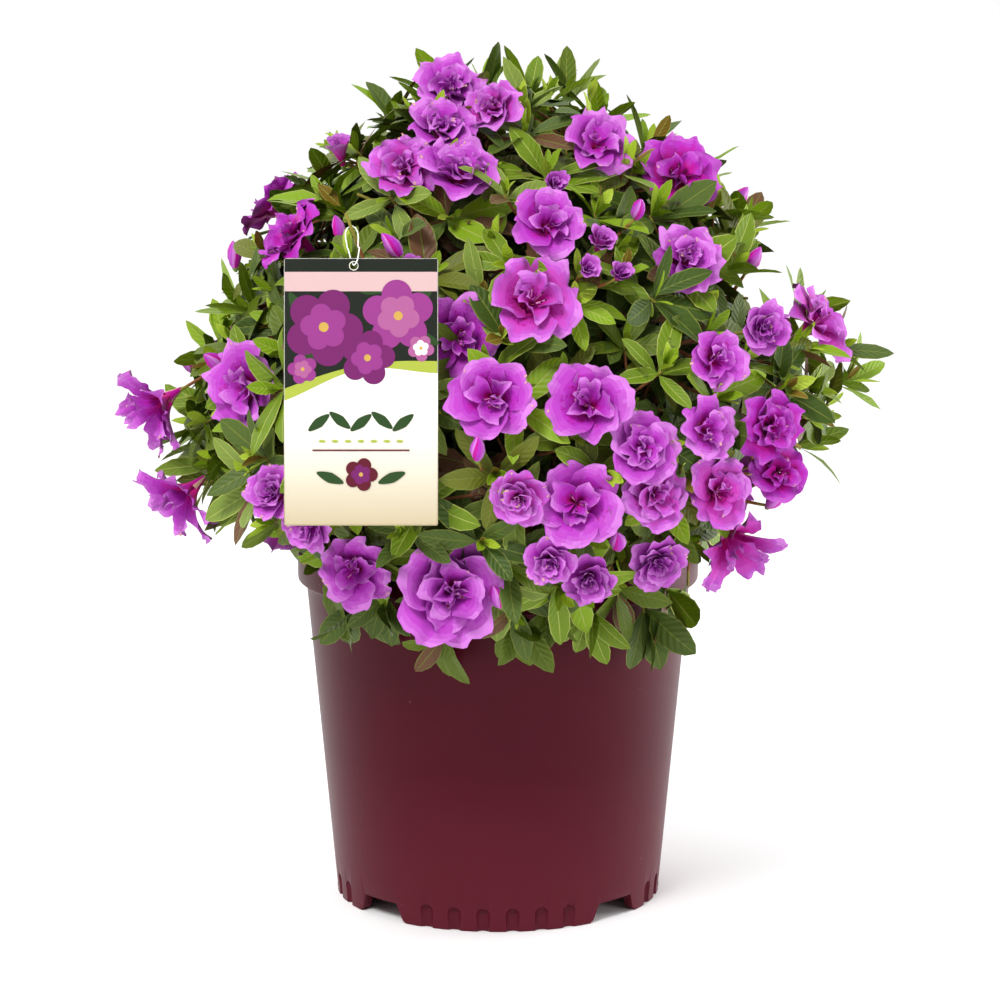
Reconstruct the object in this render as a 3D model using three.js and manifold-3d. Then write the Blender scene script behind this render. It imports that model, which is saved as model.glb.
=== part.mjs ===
// A flowering azalea shrub in a round nursery pot, with the plant tag that hangs on it.
// Millimetres, +Z up. The origin is the centre of the pot's underside, and the shrub's best
// side faces -Y. Angles are in degrees: a turn of 0 points at -Y and grows towards +X, and a
// rise is measured upwards from the level of the crown's centre.

import * as THREE from 'three';
import { mergeVertices } from 'three/addons/utils/BufferGeometryUtils.js';
import Module from 'manifold-3d';

const wasm = await Module();
wasm.setup();

// Clearance between neighbouring solids
const GAP = 0.3;

// Slivers thinner than this, left where solids are joined, are smoothed away
const FINEST_DETAIL = 0.02;
const FOLIAGE_DETAIL = 0.25;
const MERGE_DISTANCE = 1e-4;

// Pot
const POT_HEIGHT = 240;
const POT_BASE_RADIUS = 113.6;
const POT_TOP_RADIUS = 134;
const RIM_RADIUS = 139.7;
const RIM_BAND_HEIGHT = 17;
const POT_WALL = 2.4;
const POT_CORNER = 4;
const POT_SEGMENTS = 32;
const FLOOR_UNDERSIDE = 14;
const FLOOR_THICKNESS = 2.6;
const FOOT_RING_WIDTH = 7;
const CENTRE_PAD_RADIUS = 30;
const FOOT_COUNT = 4;
const NOTCH_WIDTH_BELOW = 39;
const NOTCH_WIDTH_ABOVE = 31;
const NOTCH_HEIGHT = 13;
const CUTTER_OVERRUN = 1;
const FLUTES_PER_FOOT = 6;
const FLUTE_PITCH_ANGLE = 10;
const FLUTE_RADIUS = 6.5;
const FLUTE_DEPTH = 2.4;
const FLUTE_HEIGHT = 15.5;
const FLUTE_SIDES = 6;

// Potting mix
const SOIL_LEVEL = 215;

// Stem and boughs
const STEM_FOOT_RADIUS = 16;
const STEM_RADIUS = 10;
const STEM_FLARE_SHARE = 0.4;
const STEM_LEAN = new THREE.Vector3(3, -2, 0);
const FORK_LEVEL = 262;
const FORK_KNUCKLE_RADIUS = 12.5;
const KNUCKLE_SIDES = 9;
const KNUCKLE_RINGS = 6;
const BOUGH_RADIUS = 5.2;
const SIDE_BOUGH_RADIUS = 4;
const BOUGH_TIP_RADIUS = 2.6;
const BOUGH_SHARE = 0.43;
const BOUGH_SPREAD = 0.4;
const BOUGH_TAKE_OFF = 0.75;
const LIMB_SIDES = 6;
const LIMB_STEPS = 4;
const LIMB_SAMPLES = 24;

// Crown: a superellipsoid about its centre, blunt above and rounder below
const CROWN_CENTRE = new THREE.Vector3(0, 0, 340);
const CROWN_RADIUS = 240;
const CROWN_RISE = 245;
const CROWN_DROP = 170;
const CROWN_POWER_ABOVE = 1.65;
const CROWN_POWER_BELOW = 1.8;
const MASS_CENTRE_SHARE = 0.69;

// Each mass of foliage: where it stands on the crown, how far it reaches against the crown's
// even shape, the limb that carries its bough and how far along that limb the bough leaves it.
// Its open blooms and its spent, hanging blooms are each given as [turn, rise, width] and, where
// one stands out past the mass, by how much.
const MASSES = [
  {
    name: 'top_left', turn: -25, rise: 60, reach: 1.02, from: 'stem', fork: 1,
    blooms: [[-25, 51, 48], [-19, 61, 51], [-10, 51, 56], [-25, 72, 48], [-2, 66, 44]],
  },
  {
    name: 'front', turn: 6, rise: -1, reach: 1.03, from: 'stem', fork: 1,
    blooms: [[-1, 10, 56], [14, 9, 56], [12, -6, 57], [3, -5, 38]],
  },
  {
    name: 'left', turn: -60, rise: 2, reach: 0.94, from: 'stem', fork: 1,
    blooms: [[-48, 9, 54, 8]],
    spent: [[-74, 2, 51, 23], [-71, -13, 48, 22]],
  },
  {
    name: 'right', turn: 71, rise: 6, reach: 1.02, from: 'stem', fork: 1,
    blooms: [[75, 17, 44]],
  },
  {
    name: 'back_top', turn: 178, rise: 58, reach: 0.99, from: 'stem', fork: 1,
    blooms: [],
  },
  {
    name: 'back', turn: 180, rise: -5, reach: 1, from: 'stem', fork: 1,
    blooms: [],
  },
  {
    name: 'tag_side', turn: -21, rise: 17, reach: 1.05, from: 'top_left', fork: 0.4,
    blooms: [[-7, 20, 51]],
  },
  {
    name: 'top_right', turn: 45, rise: 61, reach: 1.02, from: 'top_left', fork: 0.5,
    blooms: [[32, 57, 48]],
  },
  {
    name: 'upper_front', turn: 9, rise: 32, reach: 1.06, from: 'front', fork: 0.5,
    blooms: [[10, 38, 46], [6, 25, 57]],
  },
  {
    name: 'lower_front', turn: 1, rise: -21, reach: 1.08, from: 'front', fork: 0.42,
    blooms: [[-9, -22, 65], [8, -15, 31], [15, -18, 37]],
  },
  {
    name: 'upper_left', turn: -56, rise: 35, reach: 0.95, from: 'left', fork: 0.5,
    blooms: [[-55, 38, 51]],
  },
  {
    name: 'lower_left', turn: -34, rise: -17, reach: 1.04, from: 'left', fork: 0.36,
    blooms: [[-26, -20, 46], [-36, -6, 38], [-31, -11, 38]],
  },
  {
    name: 'upper_right', turn: 60, rise: 37, reach: 1.01, from: 'right', fork: 0.52,
    blooms: [[55, 49, 54], [40, 32, 48]],
  },
  {
    name: 'front_right', turn: 34, rise: 4, reach: 1.04, from: 'right', fork: 0.42,
    blooms: [
      [22, 2, 48], [24, -5, 48], [46, 3, 44], [37, 14, 38], [33, 4, 38], [36, -6, 48],
      [48, -4, 38], [49, 18, 32],
    ],
  },
  {
    name: 'lower_right', turn: 38, rise: -18, reach: 1.02, from: 'right', fork: 0.33,
    blooms: [[29, -19, 37]],
    spent: [[48, -19, 48]],
  },
  {
    name: 'left_back', turn: -104, rise: 0, reach: 0.92, from: 'left', fork: 0.62,
    blooms: [],
  },
  {
    name: 'right_back', turn: 110, rise: 0, reach: 0.94, from: 'right', fork: 0.62,
    blooms: [],
  },
  {
    name: 'rear_left', turn: -142, rise: -9, reach: 0.98, from: 'back', fork: 0.42,
    blooms: [],
  },
  {
    name: 'rear_right', turn: 145, rise: -9, reach: 1, from: 'back', fork: 0.34,
    blooms: [],
  },
  {
    name: 'back_left', turn: -140, rise: 28, reach: 0.98, from: 'back_top', fork: 0.42,
    blooms: [],
  },
  {
    name: 'back_right', turn: 144, rise: 28, reach: 0.99, from: 'back_top', fork: 0.5,
    blooms: [],
  },
];

// Leafy sprigs that draw the crown's outline, each as [turn, rise, how far its leaves reach]
const SPRIGS = [
  [-118, 80, 249], [-151, 85, 247], [128, 84, 244], [101, 78, 248], [98, 71, 241],
  [-95, 69, 241], [-88, 54, 228], [90, 60, 236], [88, 51, 236], [87, 37, 241],
  [84, 18, 250], [84, 11, 264], [88, 5, 272], [86, -7, 242],
];

// Shoots stand on a golden-angle lattice over the crown, from its top to its hanging skirt
const LATTICE_POINTS = 158;
const LOWEST_RISE = -45;
const GOLDEN_ANGLE = 180 * (3 - Math.sqrt(5));
const SEED = 20260;
const SEED_STEP = 7919;
const BLOOM_CLEARANCE_ANGLE = 5;
const PICTURED_HALF_ANGLE = 96;
const UNPICTURED_BLOOM_SHARE = 0.4;

// Twigs, leaves and blooms
const TWIG_RADIUS = 2.2;
const TWIG_TAPER = 0.6;
const LEAVES_PER_SHOOT = 4;
const LEAF_LENGTH = 54;
const LEAF_WIDTH = 21;
const LEAF_THICKNESS = 3;
const LEAF_ROOT = 1.5;
const LEAF_SPACING = 8;
const LEAF_TURN = 137.5;
const LEAF_SPREAD = 44;
const LEAF_SPREAD_STEP = 9;
const LEAF_SPREAD_RANGE = 8;
const LEAST_LEAF_SIZE = 0.86;
const LEAF_SIZE_RANGE = 0.24;
const SHOOT_DEPTH = 0.5;
const SHOOT_DEPTH_RANGE = 0.14;
const SPRIG_SPREAD = 22;
const SPRIG_DEPTH = 51;
const LEAF_DROOP = 0.1;
const LEAF_THICKEST = 0.32;
const LEAF_FITS = [1, 0.85, 0.7, 0.56];
const LEAF_TURNS = [0, 30, -30, 60, -60];

// Profiles run from a bloom's root to its middle as [radius, height] shares of its half width
const OPEN_BLOOM_PROFILE = [[0, -0.7], [1, 0.12], [0, -0.12]];
const SPENT_BLOOM_PROFILE = [[0, -0.8], [0.5, -0.25], [0.62, 0.75], [0, 0.35]];
const BLOOM_LOBES = 5;
const LOBE_PINCH = 0.16;
const LOBE_RUFFLE = 0.06;
const LEAST_BLOOM_WIDTH = 42;
const BLOOM_WIDTH_RANGE = 18;
const BLOOM_FITS = 7;
const BLOOM_DRAW_STEP = 0.09;
const BLOOM_SHRINK_STEP = 0.045;
const BLOOM_SINK = 0.14;
const BLOOM_LIFT = 0.12;
const BLOOM_ROOT_DEPTH = 0.25;
const SPENT_OUTWARD = 0.5;

// The dense middle of a mass
const CORE_DEPTH = 32;
const CORE_BREADTH = 96;
const CORE_LUMPINESS = 0.16;
const CORE_LEAST_RADIUS = 4;
const CORE_FIT_STEP = 1.5;

// How far leaves, twigs and cores keep off the pot, the limbs and the string
const POT_CLEARANCE = 2;
const CORE_POT_CLEARANCE = 3;
const CORE_CELL_CLEARANCE = 0.5;
const LIMB_CLEARANCE = 2;
const STRING_CLEARANCE = 3;

// Plant tag and its string
const TAG_WIDTH = 95;
const TAG_HEIGHT = 165;
const TAG_THICKNESS = 0.8;
const TAG_CENTRE = new THREE.Vector3(-84.4, -234, 384.6);
const TAG_LEAN = 9.9;
const TAG_HOLE_RADIUS = 2.5;
const TAG_HOLE_INSET = 4.6;
const TAG_HOLE_ACROSS = -4.5;
const TAG_CLEARANCE = 3;
const HOLE_CUTTER_LENGTH = 6;
const HOLE_SIDES = 10;
const STRING_RADIUS = 0.55;
const STRING_SIDES = 4;
const KNOT_RADIUS = 1.5;
const STRING_STEPS = 26;
const STRING_SAMPLES = 60;
const STRING_LIFT = 0.7;
const STRING_AT_HOLE = [[-4, 3, 5], [-1, 2.2, 0.6], [1, -2.2, 0.6], [4, -3, 5]];
const TAG_TWIG = { turn: -23, rise: 36, length: 262, grip: 244 };

const COLOURS = {
  pot: { color: 0x5c212f, roughness: 0.42, metalness: 0 },
  soil: { color: 0x3a2a1f, roughness: 0.95, metalness: 0 },
  bark: { color: 0x6b4a35, roughness: 0.85, metalness: 0 },
  foliage: { color: 0x5f7f43, roughness: 0.6, metalness: 0 },
  tag: { color: 0xf1ece0, roughness: 0.35, metalness: 0 },
  string: { color: 0xf4f4f0, roughness: 0.4, metalness: 0 },
};

const radians = THREE.MathUtils.degToRad;

// Steady numbers from 0 to 1 that are the same each time
function dice(seed) {
  let state = seed;
  return () => {
    state = (state * 1664525 + 1013904223) % 4294967296;
    return state / 4294967296;
  };
}

// A solid from any closed geometry, with its faces turned outwards
function solidOf(geometry) {
  const bare = geometry.clone();
  bare.deleteAttribute('normal');
  bare.deleteAttribute('uv');
  const merged = mergeVertices(bare, MERGE_DISTANCE);
  const place = merged.getAttribute('position');
  const corners = merged.getIndex().array;
  const faces = [];
  let volume = 0;
  for (let i = 0; i < corners.length; i += 3) {
    const [a, b, c] = [corners[i], corners[i + 1], corners[i + 2]];
    if (a === b || b === c || c === a) continue;
    faces.push([a, b, c]);
    const [p, q, r] = [a, b, c].map((n) => new THREE.Vector3().fromBufferAttribute(place, n));
    volume += p.dot(q.cross(r));
  }
  const outward = volume < 0 ? faces.map(([a, b, c]) => [a, c, b]) : faces;
  return new wasm.Manifold(new wasm.Mesh({
    numProp: 3,
    vertProperties: new Float32Array(place.array),
    triVerts: new Uint32Array(outward.flat()),
  }));
}

// The one body of a solid: sealed hollows are filled and loose scraps dropped
function oneBody(solid, detail = FINEST_DETAIL) {
  const bodies = solid.simplify(detail).decompose();
  return bodies.reduce((best, body) => (body.volume() > best.volume() ? body : best));
}

function meshOf(name, solid, look) {
  const { vertProperties, triVerts } = solid.getMesh();
  const geometry = new THREE.BufferGeometry();
  geometry.setAttribute('position', new THREE.BufferAttribute(vertProperties, 3));
  geometry.setIndex(new THREE.BufferAttribute(triVerts, 1));
  geometry.computeVertexNormals();
  const mesh = new THREE.Mesh(geometry, new THREE.MeshStandardMaterial(look));
  mesh.name = name;
  return mesh;
}

// A solid of revolution about +Z from [radius, height] points that start and end on the axis
function turned(profile, segments) {
  const points = profile.map(([r, z]) => new THREE.Vector2(r, z));
  return new THREE.LatheGeometry(points, segments).rotateX(Math.PI / 2);
}

function heading(turn, rise) {
  const [a, e] = [radians(turn), radians(rise)];
  return new THREE.Vector3(
    Math.sin(a) * Math.cos(e), -Math.cos(a) * Math.cos(e), Math.sin(e));
}

// How far the even crown reaches from its centre in a direction
function crownReach(along) {
  const [up, power] = along.z > 0
    ? [CROWN_RISE, CROWN_POWER_ABOVE] : [CROWN_DROP, CROWN_POWER_BELOW];
  const level = Math.hypot(along.x, along.y) / CROWN_RADIUS;
  const upright = Math.abs(along.z) / up;
  return (level ** power + upright ** power) ** (-1 / power);
}

function crownPoint(along, distance) {
  return CROWN_CENTRE.clone().addScaledVector(along, distance);
}

// Turns geometry made along +Z so that it stands at a place and points along a direction
function stand(geometry, place, along, roll = 0) {
  const turn = new THREE.Quaternion().setFromUnitVectors(new THREE.Vector3(0, 0, 1), along);
  geometry.rotateZ(roll);
  geometry.applyQuaternion(turn);
  return geometry.translate(place.x, place.y, place.z);
}

// A round bar of changing radius whose rings follow a curve
function limbGeometry(curve, radiusAt, sides, steps) {
  const bar = new THREE.CylinderGeometry(1, 1, 1, sides, steps);
  const frames = curve.computeFrenetFrames(steps);
  const place = bar.getAttribute('position');
  for (let i = 0; i < place.count; i += 1) {
    const ring = Math.round((place.getY(i) + 0.5) * steps);
    const share = ring / steps;
    const point = curve.getPointAt(share)
      .addScaledVector(frames.normals[ring], place.getX(i) * radiusAt(share))
      .addScaledVector(frames.binormals[ring], place.getZ(i) * radiusAt(share));
    place.setXYZ(i, point.x, point.y, point.z);
  }
  return bar;
}

function potWallRadius(level) {
  const share = level / (POT_HEIGHT - RIM_BAND_HEIGHT);
  return POT_BASE_RADIUS + (POT_TOP_RADIUS - POT_BASE_RADIUS) * share;
}

// The can itself: floor with a centre pad, foot ring, slanting wall and standing rim band
function potBody() {
  const floorTop = FLOOR_UNDERSIDE + FLOOR_THICKNESS;
  const bandFoot = POT_HEIGHT - RIM_BAND_HEIGHT;
  const footInside = POT_BASE_RADIUS - FOOT_RING_WIDTH;
  return turned([
    [0, 0],
    [CENTRE_PAD_RADIUS, 0],
    [CENTRE_PAD_RADIUS + 2, FLOOR_UNDERSIDE],
    [footInside, FLOOR_UNDERSIDE],
    [footInside, 0],
    [POT_BASE_RADIUS - POT_CORNER, 0],
    [potWallRadius(POT_CORNER), POT_CORNER],
    [POT_TOP_RADIUS, bandFoot],
    [RIM_RADIUS, bandFoot],
    [RIM_RADIUS, POT_HEIGHT],
    [RIM_RADIUS - POT_WALL, POT_HEIGHT],
    [RIM_RADIUS - POT_WALL, bandFoot + POT_WALL],
    [POT_TOP_RADIUS - POT_WALL, bandFoot - POT_WALL],
    [potWallRadius(floorTop) - POT_WALL, floorTop],
    [0, floorTop],
  ], POT_SEGMENTS);
}

// The slanting-sided drain notch between two feet, cut outwards through the foot ring
function drainNotch(turn) {
  const outline = new THREE.Shape([
    new THREE.Vector2(-NOTCH_WIDTH_BELOW / 2, -CUTTER_OVERRUN),
    new THREE.Vector2(NOTCH_WIDTH_BELOW / 2, -CUTTER_OVERRUN),
    new THREE.Vector2(NOTCH_WIDTH_ABOVE / 2, NOTCH_HEIGHT),
    new THREE.Vector2(-NOTCH_WIDTH_ABOVE / 2, NOTCH_HEIGHT),
  ]);
  const inside = POT_BASE_RADIUS - FOOT_RING_WIDTH * 2;
  const depth = FOOT_RING_WIDTH * 3;
  const cutter = new THREE.ExtrudeGeometry(outline, { depth, bevelEnabled: false });
  cutter.rotateX(Math.PI / 2);
  cutter.translate(0, -inside, 0);
  return cutter.rotateZ(radians(turn));
}

// One arched flute in a foot, running out through its lower edge
function footFlute(turn) {
  const arch = [
    [0, -CUTTER_OVERRUN],
    [FLUTE_RADIUS, -CUTTER_OVERRUN],
    [FLUTE_RADIUS, FLUTE_HEIGHT - FLUTE_RADIUS * 0.6],
    [0, FLUTE_HEIGHT],
  ];
  const cutter = turned(arch, FLUTE_SIDES);
  const middle = potWallRadius(FLUTE_HEIGHT / 2) - FLUTE_DEPTH + FLUTE_RADIUS;
  cutter.translate(0, -middle, 0);
  return cutter.rotateZ(radians(turn));
}

function pot() {
  const quarter = 360 / FOOT_COUNT;
  let body = solidOf(potBody());
  for (let foot = 0; foot < FOOT_COUNT; foot += 1) {
    body = body.subtract(solidOf(drainNotch((foot + 0.5) * quarter)));
    for (let flute = 0; flute < FLUTES_PER_FOOT; flute += 1) {
      const across = (flute - (FLUTES_PER_FOOT - 1) / 2) * FLUTE_PITCH_ANGLE;
      body = body.subtract(solidOf(footFlute(foot * quarter + across)));
    }
  }
  return oneBody(body);
}

// The potting mix fills the can from its floor to a hand's width below the rim band
function soil() {
  const bottom = FLOOR_UNDERSIDE + FLOOR_THICKNESS + GAP;
  const sideGap = POT_WALL + GAP * 1.5;
  return solidOf(turned([
    [0, bottom],
    [potWallRadius(bottom) - sideGap, bottom],
    [potWallRadius(SOIL_LEVEL) - sideGap, SOIL_LEVEL],
    [0, SOIL_LEVEL],
  ], POT_SEGMENTS));
}

// Limbs, each with its curve and its radius along it. The stem rises with a slight lean from a
// flared foot, and every bough leaves its parent, bends up or outwards and tapers to its tip.
function makeStem() {
  const foot = new THREE.Vector3(0, 0, SOIL_LEVEL + GAP);
  const top = new THREE.Vector3(0, 0, FORK_LEVEL).add(STEM_LEAN);
  const bend = new THREE.Vector3(0, 0, (foot.z + top.z) / 2);
  const curve = new THREE.QuadraticBezierCurve3(foot, bend, top);
  const radiusAt = (share) => {
    const flare = Math.max(0, 1 - share / STEM_FLARE_SHARE) ** 2;
    return STEM_RADIUS + (STEM_FOOT_RADIUS - STEM_RADIUS) * flare;
  };
  return { name: 'stem', curve, radiusAt };
}

function makeBough(mass, parent) {
  const start = parent.curve.getPointAt(mass.fork);
  const tip = crownPoint(mass.along, mass.distance * BOUGH_SHARE);
  const out = tip.clone().sub(start);
  const span = out.length();
  const flat = new THREE.Vector3(out.x, out.y, 0).normalize();
  const side = mass.from === 'stem'
    ? flat.multiplyScalar(BOUGH_TAKE_OFF).add(new THREE.Vector3(0, 0, 1 - BOUGH_TAKE_OFF))
    : parent.curve.getTangentAt(mass.fork).add(out.divideScalar(span));
  const bend = start.clone().addScaledVector(side.normalize(), span * BOUGH_SPREAD);
  const curve = new THREE.QuadraticBezierCurve3(start, bend, tip);
  const butt = mass.from === 'stem' ? BOUGH_RADIUS : SIDE_BOUGH_RADIUS;
  const radiusAt = (share) => butt + (BOUGH_TIP_RADIUS - butt) * share;
  return { name: mass.name, curve, radiusAt };
}

function limbSolid(limb, growth = 0) {
  const radiusAt = (share) => limb.radiusAt(share) + growth;
  return solidOf(limbGeometry(limb.curve, radiusAt, LIMB_SIDES, LIMB_STEPS));
}

function stemSolid(growth = 0) {
  const bar = limbSolid(limbs.stem, growth);
  const knuckle = new THREE.SphereGeometry(
    FORK_KNUCKLE_RADIUS + growth, KNUCKLE_SIDES, KNUCKLE_RINGS);
  const place = limbs.stem.curve.getPointAt(1);
  return bar.add(solidOf(knuckle.translate(place.x, place.y, place.z)));
}

// Room: a mass keeps to the points that lie nearer to its own centre than to any other's, and
// out of the pot, the tag, the string and every limb.
function roomInCell(mass, point) {
  let room = Infinity;
  for (const other of MASSES) {
    if (other === mass) continue;
    const between = mass.centre.distanceTo(other.centre);
    const nearer = point.distanceToSquared(other.centre) - point.distanceToSquared(mass.centre);
    room = Math.min(room, nearer / (2 * between));
  }
  return room - GAP / 2;
}

function clearOfPot(point) {
  return point.z > POT_HEIGHT + POT_CLEARANCE
    || Math.hypot(point.x, point.y) > RIM_RADIUS + POT_CLEARANCE;
}

function clearOfTag(point) {
  const local = point.clone().sub(TAG_CENTRE).applyAxisAngle(new THREE.Vector3(1, 0, 0),
    radians(TAG_LEAN));
  return Math.abs(local.x) > TAG_WIDTH / 2 + TAG_CLEARANCE
    || Math.abs(local.z) > TAG_HEIGHT / 2 + TAG_CLEARANCE
    || local.y > TAG_CLEARANCE;
}

function clearOfPath(point, places, radius) {
  return places.every((place) => place.distanceTo(point) > radius);
}

function clearOfLimbs(point) {
  return Object.values(limbs).every((limb) => clearOfPath(point, limb.places, limb.girth));
}

// Points on every edge of a geometry's faces
function edgePoints(geometry) {
  const place = geometry.getAttribute('position');
  const index = geometry.getIndex();
  const corner = (n) => new THREE.Vector3().fromBufferAttribute(place, index ? index.getX(n) : n);
  const count = index ? index.count : place.count;
  const points = [];
  for (let i = 0; i < count; i += 3) {
    const [a, b, c] = [corner(i), corner(i + 1), corner(i + 2)];
    for (const share of [0, 0.2, 0.4, 0.6, 0.8]) {
      points.push(a.clone().lerp(b, share), b.clone().lerp(c, share), c.clone().lerp(a, share));
    }
  }
  return points;
}

function clearOfString(point) {
  return clearOfPath(point, stringPlaces, STRING_RADIUS + STRING_CLEARANCE);
}

function fits(mass, geometry, keepsOffString = true) {
  return edgePoints(geometry).every((point) => roomInCell(mass, point) > 0
    && clearOfPot(point) && clearOfTag(point) && clearOfLimbs(point)
    && (!keepsOffString || clearOfString(point)));
}

// A leaf of eight faces, its root at the start and its face towards `facing`
function leafGeometry(root, along, facing, size) {
  const leaf = new THREE.OctahedronGeometry(1);
  const length = LEAF_LENGTH * size;
  const side = new THREE.Vector3().crossVectors(facing, along).normalize();
  const face = new THREE.Vector3().crossVectors(along, side);
  const place = leaf.getAttribute('position');
  for (let i = 0; i < place.count; i += 1) {
    const thick = Math.abs(place.getZ(i)) > 0.5;
    const reach = thick ? LEAF_THICKEST : (place.getX(i) + 1) / 2;
    const droop = LEAF_DROOP * length * reach * reach;
    const point = root.clone()
      .addScaledVector(along, reach * length - LEAF_ROOT)
      .addScaledVector(side, place.getY(i) * size * LEAF_WIDTH / 2)
      .addScaledVector(face, place.getZ(i) * LEAF_THICKNESS / 2 - droop);
    place.setXYZ(i, point.x, point.y, point.z);
  }
  return leaf;
}

function twigGeometry(from, to, baseRadius, tipRadius) {
  const length = from.distanceTo(to);
  const along = to.clone().sub(from).normalize();
  const bar = new THREE.CylinderGeometry(tipRadius, baseRadius, length, 3);
  bar.rotateX(Math.PI / 2).translate(0, 0, length / 2);
  return stand(bar, from, along);
}

function touchesAny(solid, others) {
  return others.some((other) => !solid.intersect(other).isEmpty());
}

// Leaves in a loose spiral round a shoot's end, each clear of what has grown before it
function spray(mass, tip, facing, leastSpread, roll, grown) {
  const twigAlong = tip.clone().sub(mass.centre).normalize();
  const across = new THREE.Vector3().crossVectors(facing, new THREE.Vector3(0, 0, 1));
  across.normalize();
  const leaves = [];
  const start = roll() * 360;
  for (let n = 0; n < LEAVES_PER_SHOOT; n += 1) {
    const spread = radians(leastSpread + LEAF_SPREAD_STEP * n + LEAF_SPREAD_RANGE * roll());
    const root = tip.clone().addScaledVector(twigAlong, -LEAF_SPACING * (n + 0.4));
    const size = LEAST_LEAF_SIZE + LEAF_SIZE_RANGE * roll();
    const leaf = LEAF_FITS.flatMap((fit) => LEAF_TURNS.map((turn) => {
      const angle = radians(start + LEAF_TURN * n + turn);
      const leafAlong = across.clone().applyAxisAngle(facing, angle)
        .multiplyScalar(Math.sin(spread)).addScaledVector(facing, Math.cos(spread));
      return leafGeometry(root, leafAlong.normalize(), facing, size * fit);
    })).find((tried) => fits(mass, tried)
      && !touchesAny(solidOf(tried), [...grown, ...leaves]));
    if (leaf) leaves.push(solidOf(leaf));
  }
  return leaves;
}

function scaled(profile, size) {
  return profile.map((point) => point.map((share) => share * size));
}

// An open bloom: a funnel with a scalloped, ruffled edge
function openBloom(width) {
  const bloom = turned(scaled(OPEN_BLOOM_PROFILE, width / 2), BLOOM_LOBES * 2);
  const place = bloom.getAttribute('position');
  for (let i = 0; i < place.count; i += 1) {
    const [x, y] = [place.getX(i), place.getY(i)];
    const lobe = Math.cos(BLOOM_LOBES * Math.atan2(y, x));
    const pinch = 1 - LOBE_PINCH * (1 - lobe);
    const ruffle = Math.hypot(x, y) * LOBE_RUFFLE * lobe;
    place.setXYZ(i, x * pinch, y * pinch, place.getZ(i) - ruffle);
  }
  return bloom;
}

// A spent bloom: a limp, half-closed bell
function spentBloom(width) {
  return turned(scaled(SPENT_BLOOM_PROFILE, width / 2), BLOOM_LOBES + 2);
}

// A bloom is drawn in towards its mass until it keeps to the mass's own space
function placedBloom(mass, [turn, rise, width, proud = 0], isSpent) {
  const wanted = heading(turn, rise);
  for (let step = 0; step < BLOOM_FITS; step += 1) {
    const along = wanted.clone().lerp(mass.along, step * BLOOM_DRAW_STEP).normalize();
    const size = width * (1 - BLOOM_SHRINK_STEP * step);
    const outer = crownReach(along) * mass.reach + proud;
    const place = crownPoint(along, outer - size * BLOOM_SINK);
    const facing = isSpent
      ? along.clone().multiplyScalar(SPENT_OUTWARD).add(new THREE.Vector3(0, 0, -1))
      : along.clone().add(new THREE.Vector3(0, 0, BLOOM_LIFT));
    facing.normalize();
    const shape = isSpent ? spentBloom(size) : openBloom(size);
    const bloom = stand(shape, place, facing, turn);
    if (fits(mass, bloom)) {
      return { bloom, root: place.addScaledVector(facing, -BLOOM_ROOT_DEPTH * size) };
    }
  }
  return null;
}

// The lattice's shoots: leafy, apart from a share of blooms where no picture shows the crown
function latticeShoots() {
  const shoots = [];
  for (let k = 0; k < LATTICE_POINTS; k += 1) {
    const rise = THREE.MathUtils.radToDeg(Math.asin(1 - (2 * k + 1) / LATTICE_POINTS));
    if (rise < LOWEST_RISE) break;
    const turn = ((k * GOLDEN_ANGLE + 180) % 360) - 180;
    const roll = dice(SEED + k * SEED_STEP);
    const along = heading(turn, rise);
    const isBloom = Math.abs(turn) > PICTURED_HALF_ANGLE && roll() < UNPICTURED_BLOOM_SHARE;
    const width = LEAST_BLOOM_WIDTH + BLOOM_WIDTH_RANGE * roll();
    shoots.push({ turn, rise, along, roll, isBloom, width });
  }
  return shoots;
}

function nearestMass(along) {
  const point = crownPoint(along, crownReach(along));
  return MASSES.reduce((best, mass) => (
    mass.centre.distanceTo(point) < best.centre.distanceTo(point) ? mass : best));
}

function hasRoomForCore(mass, point) {
  return roomInCell(mass, point) > CORE_CELL_CLEARANCE
    && point.z > POT_HEIGHT + CORE_POT_CLEARANCE
    && clearOfTag(point) && clearOfLimbs(point);
}

// The dense middle of a mass, lumpy and no wider than the mass's own space allows
function coreGeometry(mass, roll) {
  const ball = new THREE.IcosahedronGeometry(1, 1);
  ball.deleteAttribute('normal');
  ball.deleteAttribute('uv');
  const core = mergeVertices(ball, MERGE_DISTANCE);
  const place = core.getAttribute('position');
  for (let i = 0; i < place.count; i += 1) {
    const along = new THREE.Vector3().fromBufferAttribute(place, i).normalize();
    const outwards = Math.abs(along.dot(mass.along));
    const sideways = Math.sqrt(Math.max(0, 1 - outwards ** 2));
    const even = 1 / Math.hypot(outwards / CORE_DEPTH, sideways / CORE_BREADTH);
    let radius = even * (1 + CORE_LUMPINESS * (2 * roll() - 1));
    const point = mass.centre.clone().addScaledVector(along, radius);
    while (radius > CORE_LEAST_RADIUS && !hasRoomForCore(mass, point)) {
      radius -= CORE_FIT_STEP;
      point.copy(mass.centre).addScaledVector(along, radius);
    }
    place.setXYZ(i, point.x, point.y, point.z);
  }
  return core;
}

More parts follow.
